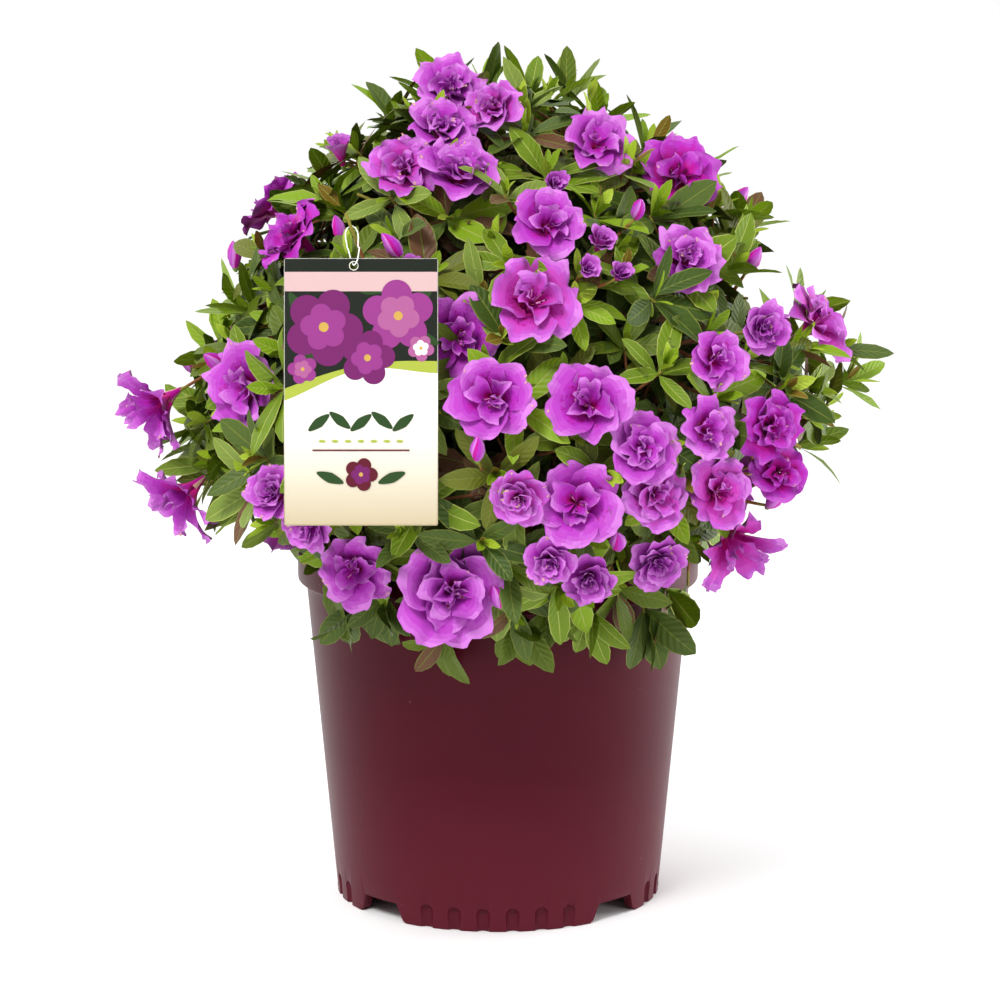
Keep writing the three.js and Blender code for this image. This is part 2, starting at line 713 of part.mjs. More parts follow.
// One mass: its stem goes on from its bough's tip, twigs leave the stem for the shoots, and
// leaves and blooms are fused on at the shoots' ends.
function foliage(mass, number) {
  const roll = dice(SEED + number);
  const bough = limbs[mass.name];
  const tip = bough.curve.getPointAt(1);
  const onwards = bough.curve.getTangentAt(1);
  const start = tip.clone().addScaledVector(onwards, GAP);
  const bend = start.clone().addScaledVector(onwards, tip.distanceTo(mass.centre) / 2);
  const stemCurve = new THREE.QuadraticBezierCurve3(start, bend, mass.centre);
  const solids = [
    solidOf(limbGeometry(stemCurve, () => BOUGH_TIP_RADIUS, LIMB_SIDES - 2, 2)),
    solidOf(coreGeometry(mass, roll)),
  ];
  const addTwig = (end, radius) => {
    const twig = twigGeometry(mass.centre, end, radius + TWIG_TAPER, radius);
    if (!fits(mass, twig, false)) return false;
    solids.push(solidOf(twig));
    return true;
  };
  const addBloom = (wanted, isSpent) => {
    const placed = placedBloom(mass, wanted, isSpent);
    if (placed && addTwig(placed.root, TWIG_RADIUS)) solids.push(solidOf(placed.bloom));
  };
  mass.blooms.forEach((wanted) => addBloom(wanted, false));
  (mass.spent ?? []).forEach((wanted) => addBloom(wanted, true));
  mass.shoots.filter(({ isBloom }) => isBloom).forEach(({ turn, rise, width }) => {
    addBloom([turn, rise, width], false);
  });

  const addLeaves = (along, distance, spread, turnDice) => {
    const end = crownPoint(along, distance);
    const facing = end.clone().sub(mass.centre).normalize().add(along).normalize();
    const leaves = spray(mass, end, facing, spread, turnDice, solids);
    if (leaves.length > 0 && addTwig(end, TWIG_RADIUS)) solids.push(...leaves);
  };
  mass.sprigs.forEach(([turn, rise, reach]) => {
    addLeaves(heading(turn, rise), reach - SPRIG_DEPTH, SPRIG_SPREAD, roll);
  });
  mass.shoots.filter(({ isBloom }) => !isBloom).forEach((shoot) => {
    const outer = crownReach(shoot.along) * mass.reach;
    const depth = LEAF_LENGTH * (SHOOT_DEPTH + SHOOT_DEPTH_RANGE * shoot.roll());
    addLeaves(shoot.along, outer - depth, LEAF_SPREAD, shoot.roll);
  });

  if (mass.name === 'tag_side') {
    const outward = heading(TAG_TWIG.turn, TAG_TWIG.rise);
    addTwig(crownPoint(outward, TAG_TWIG.length), TWIG_RADIUS);
  }
  return oneBody(wasm.Manifold.union(solids), FOLIAGE_DETAIL);
}

// The tag leans back a little against the foliage behind it
function leaned(geometry) {
  geometry.rotateX(radians(-TAG_LEAN));
  return geometry.translate(TAG_CENTRE.x, TAG_CENTRE.y, TAG_CENTRE.z);
}

function tag() {
  const card = leaned(new THREE.BoxGeometry(TAG_WIDTH, TAG_THICKNESS, TAG_HEIGHT));
  const hole = new THREE.CylinderGeometry(
    TAG_HOLE_RADIUS, TAG_HOLE_RADIUS, HOLE_CUTTER_LENGTH, HOLE_SIDES);
  hole.translate(TAG_HOLE_ACROSS, 0, TAG_HEIGHT / 2 - TAG_HOLE_INSET);
  return oneBody(solidOf(card).subtract(solidOf(leaned(hole))));
}

// The string goes through the tag's hole and over the twig that carries it
function stringCurve() {
  const holeLevel = TAG_HEIGHT / 2 - TAG_HOLE_INSET + STRING_LIFT;
  const hole = new THREE.Vector3(TAG_HOLE_ACROSS, 0, holeLevel)
    .applyAxisAngle(new THREE.Vector3(1, 0, 0), radians(-TAG_LEAN)).add(TAG_CENTRE);
  const twig = heading(TAG_TWIG.turn, TAG_TWIG.rise);
  const mass = MASSES.find(({ name }) => name === 'tag_side');
  const along = crownPoint(twig, TAG_TWIG.length).sub(mass.centre).normalize();
  const hold = crownPoint(twig, TAG_TWIG.length)
    .addScaledVector(along, TAG_TWIG.grip - TAG_TWIG.length);
  const over = new THREE.Vector3().crossVectors(along, new THREE.Vector3(1, 0, 0)).normalize();
  if (over.z < 0) over.negate();
  const reach = TWIG_RADIUS + KNOT_RADIUS + GAP;
  const side = new THREE.Vector3(reach, 0, 0);
  const outside = new THREE.Vector3(0, -1, 0);
  const top = hold.clone().addScaledVector(over, reach);
  return new THREE.CatmullRomCurve3([
    top.clone().addScaledVector(side, -0.1),
    hold.clone().sub(side),
    hold.clone().sub(side).lerp(hole, 0.5).addScaledVector(outside, -0.5),
    ...STRING_AT_HOLE.map((offset) => hole.clone().add(new THREE.Vector3(...offset))),
    hold.clone().add(side).lerp(hole, 0.5).addScaledVector(outside, 0.5),
    hold.clone().add(side),
    top.clone().addScaledVector(side, 0.1),
  ]);
}

function string() {
  const section = new THREE.Shape().absarc(0, 0, STRING_RADIUS, 0, Math.PI * 2);
  const outline = new THREE.Shape(section.getSpacedPoints(STRING_SIDES).slice(0, STRING_SIDES));
  const strand = new THREE.ExtrudeGeometry(outline,
    { steps: STRING_STEPS, bevelEnabled: false, extrudePath: stringPath });
  const knot = new THREE.OctahedronGeometry(KNOT_RADIUS);
  const tie = stringPath.getPointAt(0).lerp(stringPath.getPointAt(1), 0.5);
  return oneBody(solidOf(strand).add(solidOf(knot.translate(tie.x, tie.y, tie.z))));
}

MASSES.forEach((mass) => {
  mass.along = heading(mass.turn, mass.rise);
  mass.distance = crownReach(mass.along) * mass.reach;
  mass.centre = crownPoint(mass.along, mass.distance * MASS_CENTRE_SHARE);
  mass.shoots = [];
  mass.sprigs = [];
});

const limbs = { stem: makeStem() };
MASSES.forEach((mass) => {
  limbs[mass.name] = makeBough(mass, limbs[mass.from]);
});
Object.values(limbs).forEach((limb) => {
  limb.places = limb.curve.getSpacedPoints(LIMB_SAMPLES);
  limb.girth = limb.radiusAt(0) + LIMB_CLEARANCE;
});

latticeShoots().forEach((shoot) => {
  const mass = nearestMass(shoot.along);
  const near = [...mass.blooms, ...(mass.spent ?? [])].some(([turn, rise]) => (
    shoot.along.angleTo(heading(turn, rise)) < radians(BLOOM_CLEARANCE_ANGLE)));
  if (!near) mass.shoots.push(shoot);
});
SPRIGS.forEach((sprig) => {
  nearestMass(heading(sprig[0], sprig[1])).sprigs.push(sprig);
});
const stringPath = stringCurve();
const stringPlaces = stringPath.getSpacedPoints(STRING_SAMPLES);

const group = new THREE.Group();
group.add(meshOf('pot', pot(), COLOURS.pot));
group.add(meshOf('soil', soil(), COLOURS.soil));
group.add(meshOf('stem', oneBody(stemSolid()), COLOURS.bark));
const standing = [stemSolid(GAP)];
MASSES.forEach((mass) => {
  const clear = standing.reduce((body, other) => body.subtract(other), limbSolid(limbs[mass.name]));
  group.add(meshOf(`bough_${mass.name}`, oneBody(clear), COLOURS.bark));
  standing.push(limbSolid(limbs[mass.name], GAP));
});
MASSES.forEach((mass, number) => {
  group.add(meshOf(`foliage_${mass.name}`, foliage(mass, number), COLOURS.foliage));
});
group.add(meshOf('tag', tag(), COLOURS.tag));
group.add(meshOf('tag_string', string(), COLOURS.string));

export default group;
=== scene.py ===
import math

import bpy
import numpy as np
from mathutils import Euler, Matrix, Quaternion, Vector


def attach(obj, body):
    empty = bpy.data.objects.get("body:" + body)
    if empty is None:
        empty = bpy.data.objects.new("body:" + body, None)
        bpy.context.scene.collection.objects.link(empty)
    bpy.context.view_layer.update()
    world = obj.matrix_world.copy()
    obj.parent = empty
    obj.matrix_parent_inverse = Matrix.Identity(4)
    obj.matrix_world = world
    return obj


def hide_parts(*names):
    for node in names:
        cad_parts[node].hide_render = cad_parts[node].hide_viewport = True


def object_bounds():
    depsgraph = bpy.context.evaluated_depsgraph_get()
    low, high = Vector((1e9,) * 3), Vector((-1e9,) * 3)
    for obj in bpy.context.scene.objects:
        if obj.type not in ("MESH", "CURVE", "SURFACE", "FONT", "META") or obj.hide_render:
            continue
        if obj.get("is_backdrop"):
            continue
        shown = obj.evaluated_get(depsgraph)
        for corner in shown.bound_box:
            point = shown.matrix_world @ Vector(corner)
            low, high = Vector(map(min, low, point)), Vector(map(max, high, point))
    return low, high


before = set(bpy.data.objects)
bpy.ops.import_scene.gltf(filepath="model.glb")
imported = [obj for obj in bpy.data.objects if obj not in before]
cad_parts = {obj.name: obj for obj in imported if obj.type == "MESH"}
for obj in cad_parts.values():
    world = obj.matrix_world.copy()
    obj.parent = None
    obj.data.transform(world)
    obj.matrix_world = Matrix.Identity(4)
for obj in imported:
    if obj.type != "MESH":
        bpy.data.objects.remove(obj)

cad_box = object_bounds()

# Studio
# A white floor runs on out of sight under a white sky that is brighter behind the plant, and a
# soft light stands high in front. The camera stands a little over two metres off and looks
# slightly down.
scene = bpy.context.scene
scene.view_settings.view_transform = "Standard"
FLOOR_SIZE = 70
CAMERA_PLACE = (0.0014, -2.2, 0.66)
CAMERA_PITCH = 9.9
CAMERA_LENS = 115.7
SKY_FRONT, SKY_BACK, SKY_FADE, SKY_TO_LEFT = 0.42, 1.62, 0.6, 0.24
LIT_POINT = (0, 0, 0.3)
LIGHTS = {
    # place, size and power
    "key": ((-0.85, -1.8, 2.25), 0.8, 60),
    "fill": ((1.9, -1.6, 0.7), 1.0, 14),
    "edge_right": ((1.5, 0.5, 0.4), 1.0, 17),
}


def srgb(red, green, blue):
    """A paint colour in bytes as the shader takes it, with its alpha."""
    linear = [
        c / 12.92 if c <= 0.04045 else ((c + 0.055) / 1.055) ** 2.4
        for c in (red / 255, green / 255, blue / 255)
    ]
    return (*linear, 1)


def add_node(nodes, kind, sockets=(), **options):
    """A new shader node with its options, such as its operation, and the values it starts with."""
    made = nodes.new("ShaderNode" + kind)
    for option, choice in options.items():
        setattr(made, option, choice)
    for socket, value in dict(sockets).items():
        made.inputs[socket].default_value = value
    return made


def wire(links, *runs):
    """Joins sockets. A run is a node and its output, then a node and its input."""
    for source, output, target, socket in runs:
        links.new(source.outputs[output], target.inputs[socket])


def plain_finish(name, colour, roughness, specular=0.5):
    """A new material, with its nodes, its links and its shader."""
    finish = bpy.data.materials.new(name)
    finish.use_nodes = True
    tree = finish.node_tree
    shader = tree.nodes["Principled BSDF"]
    shader.inputs["Base Color"].default_value = srgb(*colour)
    shader.inputs["Roughness"].default_value = roughness
    shader.inputs["Specular IOR Level"].default_value = specular
    return finish, tree.nodes, tree.links, shader


def surface_grain(finish, scale, strength, distance, detail=4, stretch=(1, 1, 1)):
    """Fine relief from noise that is fixed to the piece."""
    nodes, links = finish.node_tree.nodes, finish.node_tree.links
    where = add_node(nodes, "TexCoord")
    mapping = add_node(nodes, "Mapping", {"Scale": stretch})
    noise = add_node(nodes, "TexNoise", {"Scale": scale, "Detail": detail})
    bump = add_node(nodes, "Bump", {"Strength": strength, "Distance": distance})
    wire(
        links, (where, "Object", mapping, "Vector"), (mapping, "Vector", noise, "Vector"),
        (noise, "Fac", bump, "Height"), (bump, "Normal", nodes["Principled BSDF"], "Normal"),
    )
    return noise


def dress(piece, look):
    """Gives a piece one finish all over."""
    piece.data.materials.clear()
    piece.data.materials.append(look)


def clear_selection():
    bpy.ops.object.select_all(action="DESELECT")


clear_selection()
bpy.ops.mesh.primitive_plane_add(size=FLOOR_SIZE, location=(0, 0, -0.0003))
floor = bpy.context.active_object
floor.name = "studio_floor"
white_floor = plain_finish("white_floor", (250, 250, 250), 0.8, 0.2)[0]
surface_grain(white_floor, 40, 0.04, 0.001)
dress(floor, white_floor)
floor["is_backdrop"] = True

world = bpy.data.worlds.new("studio_sky")
scene.world = world
world.use_nodes = True
sky_nodes, sky_links = world.node_tree.nodes, world.node_tree.links
sky = sky_nodes["Background"]
sky.inputs["Color"].default_value = (1, 1, 1, 1)
direction = add_node(sky_nodes, "TexCoord")
split = add_node(sky_nodes, "SeparateXYZ")
fade = add_node(sky_nodes, "MapRange", {
    "From Min": -SKY_FADE, "From Max": SKY_FADE, "To Min": SKY_FRONT, "To Max": SKY_BACK,
})
sideways = add_node(sky_nodes, "Math", {1: -SKY_TO_LEFT, 2: 1}, operation="MULTIPLY_ADD")
strength = add_node(sky_nodes, "Math", operation="MULTIPLY")
wire(
    sky_links, (direction, "Generated", split, "Vector"), (split, "Y", fade, "Value"),
    (split, "X", sideways, 0), (fade, "Result", strength, 0), (sideways, "Value", strength, 1),
    (strength, "Value", sky, "Strength"),
)

for name, (place, size, power) in LIGHTS.items():
    bpy.ops.object.light_add(type="AREA", location=place)
    light = bpy.context.active_object
    light.name = name
    light.data.size = size
    light.data.energy = power
    towards_plant = Vector(LIT_POINT) - light.location
    light.rotation_euler = towards_plant.to_track_quat("-Z", "Y").to_euler()

bpy.ops.object.camera_add(
    location=CAMERA_PLACE, rotation=(math.radians(90 - CAMERA_PITCH), 0, 0)
)
scene.camera = bpy.context.active_object
scene.camera.data.lens = CAMERA_LENS
scene.camera.data.sensor_width = 36
scene.camera.data.clip_end = 200

# Pot
# A round nursery container moulded in maroon plastic: a slanting wall, a standing rim band with
# a turned lip, and four feet that are fluted outside and stand between slanting drain notches.
# Its underside is hollow round a centre pad.
POT_HEIGHT = 0.240
POT_BASE = 0.1136
POT_TOP = 0.134
POT_RIM = 0.1397
POT_BAND = 0.017
POT_WALL = 0.0024
BAND_FOOT = POT_HEIGHT - POT_BAND
BASE_RING = 0.004
FOOT_RING = 0.007
FLOOR_UNDER = 0.014
INSIDE_FLOOR = 0.0166
PAD_FOOT, PAD_TOP = 0.030, 0.032
POT_SIDES = 144
WALL_RINGS = (0.03, 0.09, 0.15, 0.215)
FLUTE_TURNS = (-25, -15, -5, 5, 15, 25)
FLUTE_TALL = 0.0165
FLUTE_DEEP = 0.0034
FLUTE_ROUND = 0.0052
NOTCH_TALL, NOTCH_TOP_WIDE, NOTCH_DEEP = 0.013, 0.031, 0.03
POT_EDGE, POT_EDGE_ANGLE, POT_SMOOTH_ANGLE = 0.0006, 38, 32
NOTCH_FLARE = [(0.0036, 0.0380), (0.0016, 0.0405), (0.0004, 0.0440), (-0.0040, 0.0460)]


def wall_radius(level):
    return POT_BASE + (POT_TOP - POT_BASE) * level / BAND_FOOT


def edit_mode(on=True):
    bpy.ops.object.mode_set(mode="EDIT" if on else "OBJECT")


def draw_out(steps, radius, level):
    """Extrudes the selected face ring by ring, each ring at its own [radius, level]."""
    for next_radius, next_level in steps:
        bpy.ops.mesh.extrude_region_move(
            TRANSFORM_OT_translate={"value": (0, 0, next_level - level)}
        )
        factor = next_radius / radius
        bpy.ops.transform.resize(value=(factor, factor, 1), center_override=(0, 0, 0))
        radius, level = next_radius, next_level


def select_faces(piece, wanted):
    """Selects, in edit mode, the faces for which wanted(face) is true."""
    bpy.ops.mesh.select_all(action="DESELECT")
    edit_mode(False)
    for face in piece.data.polygons:
        face.select = wanted(face)
    edit_mode()


def choose(*pieces):
    """Selects these pieces alone and makes the first one active."""
    clear_selection()
    for piece in pieces:
        piece.select_set(True)
    bpy.context.view_layer.objects.active = pieces[0]


def join_all(*pieces):
    choose(*pieces)
    bpy.ops.object.join()
    return bpy.context.active_object


def apply_all(piece):
    choose(piece)
    for modifier in list(piece.modifiers):
        bpy.ops.object.modifier_apply(modifier=modifier.name)


def cut_away(piece, cutter):
    carve = piece.modifiers.new("cut", "BOOLEAN")
    carve.operation = "DIFFERENCE"
    carve.solver = "EXACT"
    carve.use_self = True
    carve.object = cutter
    apply_all(piece)
    bpy.data.objects.remove(cutter)


def ease_edges(piece, width, angle):
    ease = piece.modifiers.new("eased_edges", "BEVEL")
    ease.width = width
    ease.segments = 2
    ease.limit_method = "ANGLE"
    ease.angle_limit = math.radians(angle)
    apply_all(piece)


clear_selection()
bpy.ops.mesh.primitive_cylinder_add(
    vertices=POT_SIDES, radius=POT_BASE, depth=BASE_RING, location=(0, 0, BASE_RING / 2)
)
pot = bpy.context.active_object
pot.name = "pot_shell"
bpy.ops.object.transform_apply(location=True)
edit_mode()
select_faces(pot, lambda face: len(face.vertices) > 8 and face.normal.z > 0)
# up the wall, out to the band, round its lip, and down inside to the floor
draw_out(
    [
        *[(wall_radius(level), level) for level in WALL_RINGS],
        (POT_TOP, BAND_FOOT - 0.0004),
        (POT_RIM - 0.0012, BAND_FOOT),
        (POT_RIM - 0.0002, BAND_FOOT + 0.0008),
        (POT_RIM, BAND_FOOT + 0.003),
        (POT_RIM, POT_HEIGHT - 0.0035),
        (POT_RIM - 0.0003, POT_HEIGHT - 0.0012),
        (POT_RIM - 0.0010, POT_HEIGHT - 0.0002),
        (POT_RIM - 0.0018, POT_HEIGHT - 0.0003),
        (POT_RIM - 0.0024, POT_HEIGHT - 0.0016),
        (POT_RIM - POT_WALL, BAND_FOOT + 0.0026),
        (POT_TOP - POT_WALL, BAND_FOOT - 0.0024),
        (wall_radius(INSIDE_FLOOR) - POT_WALL, INSIDE_FLOOR),
    ],
    wall_radius(BASE_RING),
    BASE_RING,
)
select_faces(pot, lambda face: len(face.vertices) > 8 and face.normal.z < 0)
# from the standing ring up to the hollow floor, and down to the centre pad
draw_out(
    [
        (POT_BASE - FOOT_RING, 0.0),
        (POT_BASE - FOOT_RING - 0.0004, FLOOR_UNDER),
        (PAD_TOP, FLOOR_UNDER),
        (PAD_FOOT, 0.0),
    ],
    POT_BASE,
    0.0,
)
bpy.ops.mesh.select_all(action="SELECT")
bpy.ops.mesh.remove_doubles(threshold=0.00001)
bpy.ops.mesh.normals_make_consistent(inside=False)
edit_mode(False)

cutters = []
for foot in range(4):
    clear_selection()
    bpy.ops.mesh.primitive_cube_add(size=1, location=(0, 0, 0))
    notch = bpy.context.active_object
    level, wide = NOTCH_FLARE[0]
    for corner in notch.data.vertices:
        above = corner.co.z > 0
        corner.co = (
            corner.co.x * (NOTCH_TOP_WIDE if above else wide),
            -POT_BASE + corner.co.y * NOTCH_DEEP,
            NOTCH_TALL if above else level,
        )
    edit_mode()
    select_faces(notch, lambda face: face.normal.z < -0.5)
    for next_level, next_wide in NOTCH_FLARE[1:]:
        bpy.ops.mesh.extrude_region_move(
            TRANSFORM_OT_translate={"value": (0, 0, next_level - level)}
        )
        bpy.ops.transform.resize(value=(next_wide / wide, 1, 1), center_override=(0, 0, 0))
        level, wide = next_level, next_wide
    bpy.ops.mesh.select_all(action="SELECT")
    bpy.ops.mesh.normals_make_consistent(inside=False)
    edit_mode(False)
    notch.data.transform(Matrix.Rotation(math.radians(45 + 90 * foot), 4, "Z"))
    cutters.append(notch)
    for across in FLUTE_TURNS:
        clear_selection()
        bpy.ops.mesh.primitive_uv_sphere_add(segments=20, ring_count=12, radius=FLUTE_ROUND)
        flute = bpy.context.active_object
        axis = wall_radius(FLUTE_TALL / 2) - FLUTE_DEEP + FLUTE_ROUND
        for point in flute.data.vertices:
            # its lower half runs on down past the pot's foot
            if point.co.z < -1e-5:
                point.co.z = point.co.z * 0.1 - FLUTE_TALL
            point.co += Vector((0, -axis, FLUTE_TALL - FLUTE_ROUND))
        flute.data.transform(Matrix.Rotation(math.radians(90 * foot + across), 4, "Z"))
        cutters.append(flute)
cut_away(pot, join_all(*cutters))
ease_edges(pot, POT_EDGE, POT_EDGE_ANGLE)
bpy.ops.object.shade_smooth_by_angle(angle=math.radians(POT_SMOOTH_ANGLE))

maroon, nodes, links, shader = plain_finish("maroon_plastic", (76, 8, 26), 0.38, 0.11)
surface_grain(maroon, 900, 0.10, 0.0002, detail=2)
where = add_node(nodes, "TexCoord")
broad = add_node(nodes, "TexNoise", {"Scale": 9})
shade = add_node(nodes, "Mix", {"A": srgb(65, 2, 18), "B": srgb(73, 4, 24)}, data_type="RGBA")
# painted light bounced up from the floor: the colour turns paler and greyer towards the feet
height = add_node(nodes, "SeparateXYZ")
low = add_node(nodes, "MapRange", {"From Min": 0, "From Max": 0.11, "To Min": 0.5, "To Max": 0})
painted_floor_light = add_node(nodes, "Mix", {"B": srgb(100, 34, 47)}, data_type="RGBA")
# small pale specks of dust, gathered where a broader noise is high
specks = add_node(nodes, "TexVoronoi", {"Scale": 170})
speck = add_node(nodes, "MapRange", {"From Min": 0.03, "From Max": 0.08, "To Min": 1, "To Max": 0})
few = add_node(nodes, "TexNoise", {"Scale": 95})
share = add_node(nodes, "MapRange", {"From Min": 0.62, "From Max": 0.68})
both = add_node(nodes, "Math", operation="MULTIPLY")
dust = add_node(nodes, "Mix", {"B": srgb(150, 108, 110)}, data_type="RGBA")
wire(
    links, (where, "Object", broad, "Vector"), (broad, "Fac", shade, "Factor"),
    (where, "Object", height, "Vector"), (height, "Z", low, "Value"),
    (low, "Result", painted_floor_light, "Factor"), (shade, "Result", painted_floor_light, "A"),
    (where, "Object", specks, "Vector"), (specks, "Distance", speck, "Value"),
    (where, "Object", few, "Vector"), (few, "Fac", share, "Value"),
    (speck, "Result", both, 0), (share, "Result", both, 1),
    (both, "Value", dust, "Factor"), (painted_floor_light, "Result", dust, "A"),
    (dust, "Result", shader, "Base Color"),
)
dress(pot, maroon)
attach(pot, "root")
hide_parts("pot")

# Potting mix
# Composted pine bark fills the pot to a finger's width below its band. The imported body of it
# stays as it is, and a layer of loose bark chips lies on top.
SOIL_LEVEL = 0.215
CHIP_COUNT, CHIPS_OUT, CHIP_SEED = 620, 0.124, 61
CHIP_BARKS = {"bark_brown": (84, 58, 40), "bark_dark": (52, 37, 27), "bark_red": (104, 68, 44)}
CHIP_CORNERS = [
    (-1, -1, -1), (1, -1, -1), (1, 1, -1), (-1, 1, -1),
    (-1, -1, 1), (1, -1, 1), (1, 1, 1), (-1, 1, 1),
]
CHIP_FACES = [(0, 3, 2, 1), (4, 5, 6, 7), (0, 1, 5, 4), (1, 2, 6, 5), (2, 3, 7, 6), (3, 0, 4, 7)]


def dice(seed):
    """Steady numbers from 0 to 1 that are the same each time."""
    state = seed
    while True:
        state = (state * 1664525 + 1013904223) % 4294967296
        yield state / 4294967296


def swing(roll):
    """A steady number from -0.5 to 0.5."""
    return next(roll) - 0.5


def joined_piece(name, places, faces, slots, finishes, smooth=True, uvs=None):
    """One mesh from arrays: points, faces of four corners or fewer, and each face's finish."""
    mesh = bpy.data.meshes.new(name)
    mesh.from_pydata(places, [], faces)
    for finish in finishes:
        mesh.materials.append(finish)
    mesh.polygons.foreach_set("material_index", np.asarray(slots, dtype=np.int32))
    mesh.polygons.foreach_set("use_smooth", np.full(len(faces), smooth))
    if uvs is not None:
        layer = mesh.uv_layers.new(name="growth")
        corner = np.zeros(len(mesh.loops), dtype=np.int32)
        mesh.loops.foreach_get("vertex_index", corner)
        layer.data.foreach_set("uv", np.asarray(uvs, dtype=np.float32)[corner].ravel())
    mesh.validate()
    mesh.update()
    piece = bpy.data.objects.new(name, mesh)
    scene.collection.objects.link(piece)
    return piece


def grained_looks(colours, roughness, specular, *grain, **more):
    """One finish for each named colour, all with the same sheen and grain."""
    looks = []
    for name, colour in colours.items():
        looks.append(plain_finish(name, colour, roughness, specular)[0])
        surface_grain(looks[-1], *grain, **more)
    return looks


roll = dice(CHIP_SEED)
chip_places, chip_faces, chip_slots = [], [], []
for _ in range(CHIP_COUNT):
    out = CHIPS_OUT * math.sqrt(next(roll))
    turn = next(roll) * math.tau
    size = (0.004 + 0.007 * next(roll), 0.002 + 0.004 * next(roll), 0.001 + 0.0015 * next(roll))
    tilt = Euler((swing(roll) * 0.9, swing(roll) * 0.9, next(roll) * math.tau))
    level = SOIL_LEVEL + 0.001 + 0.003 * next(roll)
    middle = Vector((out * math.cos(turn), out * math.sin(turn), level))
    first = len(chip_places)
    for corner in CHIP_CORNERS:
        point = Vector([c * s * (0.7 + 0.5 * next(roll)) for c, s in zip(corner, size)])
        point.rotate(tilt)
        chip_places.append(tuple(middle + point))
    chip_faces += [tuple(first + n for n in face) for face in CHIP_FACES]
    chip_slots += [int(next(roll) * 3)] * 6
chip_looks = grained_looks(CHIP_BARKS, 0.9, 0.2, 260, 0.6, 0.001, stretch=(1, 4, 1))
chips = joined_piece("bark_chips", chip_places, chip_faces, chip_slots, chip_looks, smooth=False)
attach(chips, "root")

mix = plain_finish("potting_mix", (48, 35, 26), 0.95, 0.2)[0]
surface_grain(mix, 180, 0.9, 0.003, detail=8)
for material_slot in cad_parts["soil"].material_slots:
    material_slot.material = mix

# Stem and boughs
# A short stem forks just above the potting mix, and every bough forks and tapers on its way to
# the mass of twigs that it carries. All of it is thin grey-brown bark with long fine ridges.
# The crown's even shape and its masses are those that the boughs grow towards.
CROWN_CENTRE = np.array([0, 0, 0.340])
CROWN_RADIUS, CROWN_RISE, CROWN_DROP = 0.240, 0.245, 0.170
POWER_ABOVE, POWER_BELOW = 1.65, 1.8
MASS_CENTRE_SHARE = 0.69
BOUGH_SHARE = 0.43
BOUGH_SPREAD = 0.4
STEM_FOOT, STEM_THICK, STEM_TOP, FORK_KNUCKLE = 0.016, 0.010, 0.262, 0.0122
FLARE_SHARE, RIDGE_SIZE, RIDGE_HEIGHT = 0.4, 0.004, 0.0016
BOUGH_THICK, SIDE_BOUGH_THICK, BOUGH_TIP = 0.0052, 0.004, 0.0026
MASSES = {
    # turn, rise, reach, the limb it leaves, how far along that limb
    "top_left": (-25, 60, 1.02, "stem", 1),
    "front": (6, -1, 1.03, "stem", 1),
    "left": (-60, 2, 0.94, "stem", 1),
    "right": (71, 6, 1.02, "stem", 1),
    "back_top": (178, 58, 0.99, "stem", 1),
    "back": (180, -5, 1, "stem", 1),
    "tag_side": (-21, 17, 1.05, "top_left", 0.4),
    "top_right": (45, 61, 1.02, "top_left", 0.5),
    "upper_front": (9, 32, 1.06, "front", 0.5),
    "lower_front": (1, -21, 1.08, "front", 0.42),
    "upper_left": (-56, 35, 0.95, "left", 0.5),
    "lower_left": (-34, -17, 1.04, "left", 0.36),
    "upper_right": (60, 37, 1.01, "right", 0.52),
    "front_right": (34, 4, 1.04, "right", 0.42),
    "lower_right": (38, -18, 1.02, "right", 0.33),
    "left_back": (-104, 0, 0.92, "left", 0.62),
    "right_back": (110, 0, 0.94, "right", 0.62),
    "rear_left": (-142, -9, 0.98, "back", 0.42),
    "rear_right": (145, -9, 1, "back", 0.34),
    "back_left": (-140, 28, 0.98, "back_top", 0.42),
    "back_right": (144, 28, 0.99, "back_top", 0.5),
}


def heading(turn, rise):
    a, e = math.radians(turn), math.radians(rise)
    return np.array([math.sin(a) * math.cos(e), -math.cos(a) * math.cos(e), math.sin(e)])


def unit(v):
    return v / np.linalg.norm(v)


def upward(height):
    return np.array([0, 0, height])


def crown_reach(along):
    up, power = (CROWN_RISE, POWER_ABOVE) if along[2] > 0 else (CROWN_DROP, POWER_BELOW)
    level = math.hypot(along[0], along[1]) / CROWN_RADIUS
    return (level**power + (abs(along[2]) / up) ** power) ** (-1 / power)


def crown_point(along, distance):
    return CROWN_CENTRE + along * distance


def bend_at(curve, share):
    """A point of a limb's curve, which is given by its start, its bend and its end."""
    a, b, c = curve
    return (1 - share) ** 2 * a + 2 * share * (1 - share) * b + share**2 * c


def heading_at(curve, share):
    a, b, c = curve
    return unit((1 - share) * (b - a) + share * (c - b))


def share_at_length(curve, wanted):
    """The curve's own share at which a share of its length is reached."""
    shares = np.linspace(0, 1, 201)
    steps = np.array([bend_at(curve, share) for share in shares])
    lengths = np.concatenate([[0], np.cumsum(np.linalg.norm(np.diff(steps, axis=0), axis=1))])
    return float(np.interp(wanted * lengths[-1], lengths, shares))


masses = {}
for name, (turn, rise, reach, parent, fork) in MASSES.items():
    along = heading(turn, rise)
    distance = crown_reach(along) * reach
    centre = crown_point(along, distance * MASS_CENTRE_SHARE)
    masses[name] = {
        "along": along, "distance": distance, "reach": reach, "from": parent, "fork": fork,
        "centre": centre, "shoots": [],
    }
mass_names = list(masses)
mass_centres = np.array([mass["centre"] for mass in masses.values()])

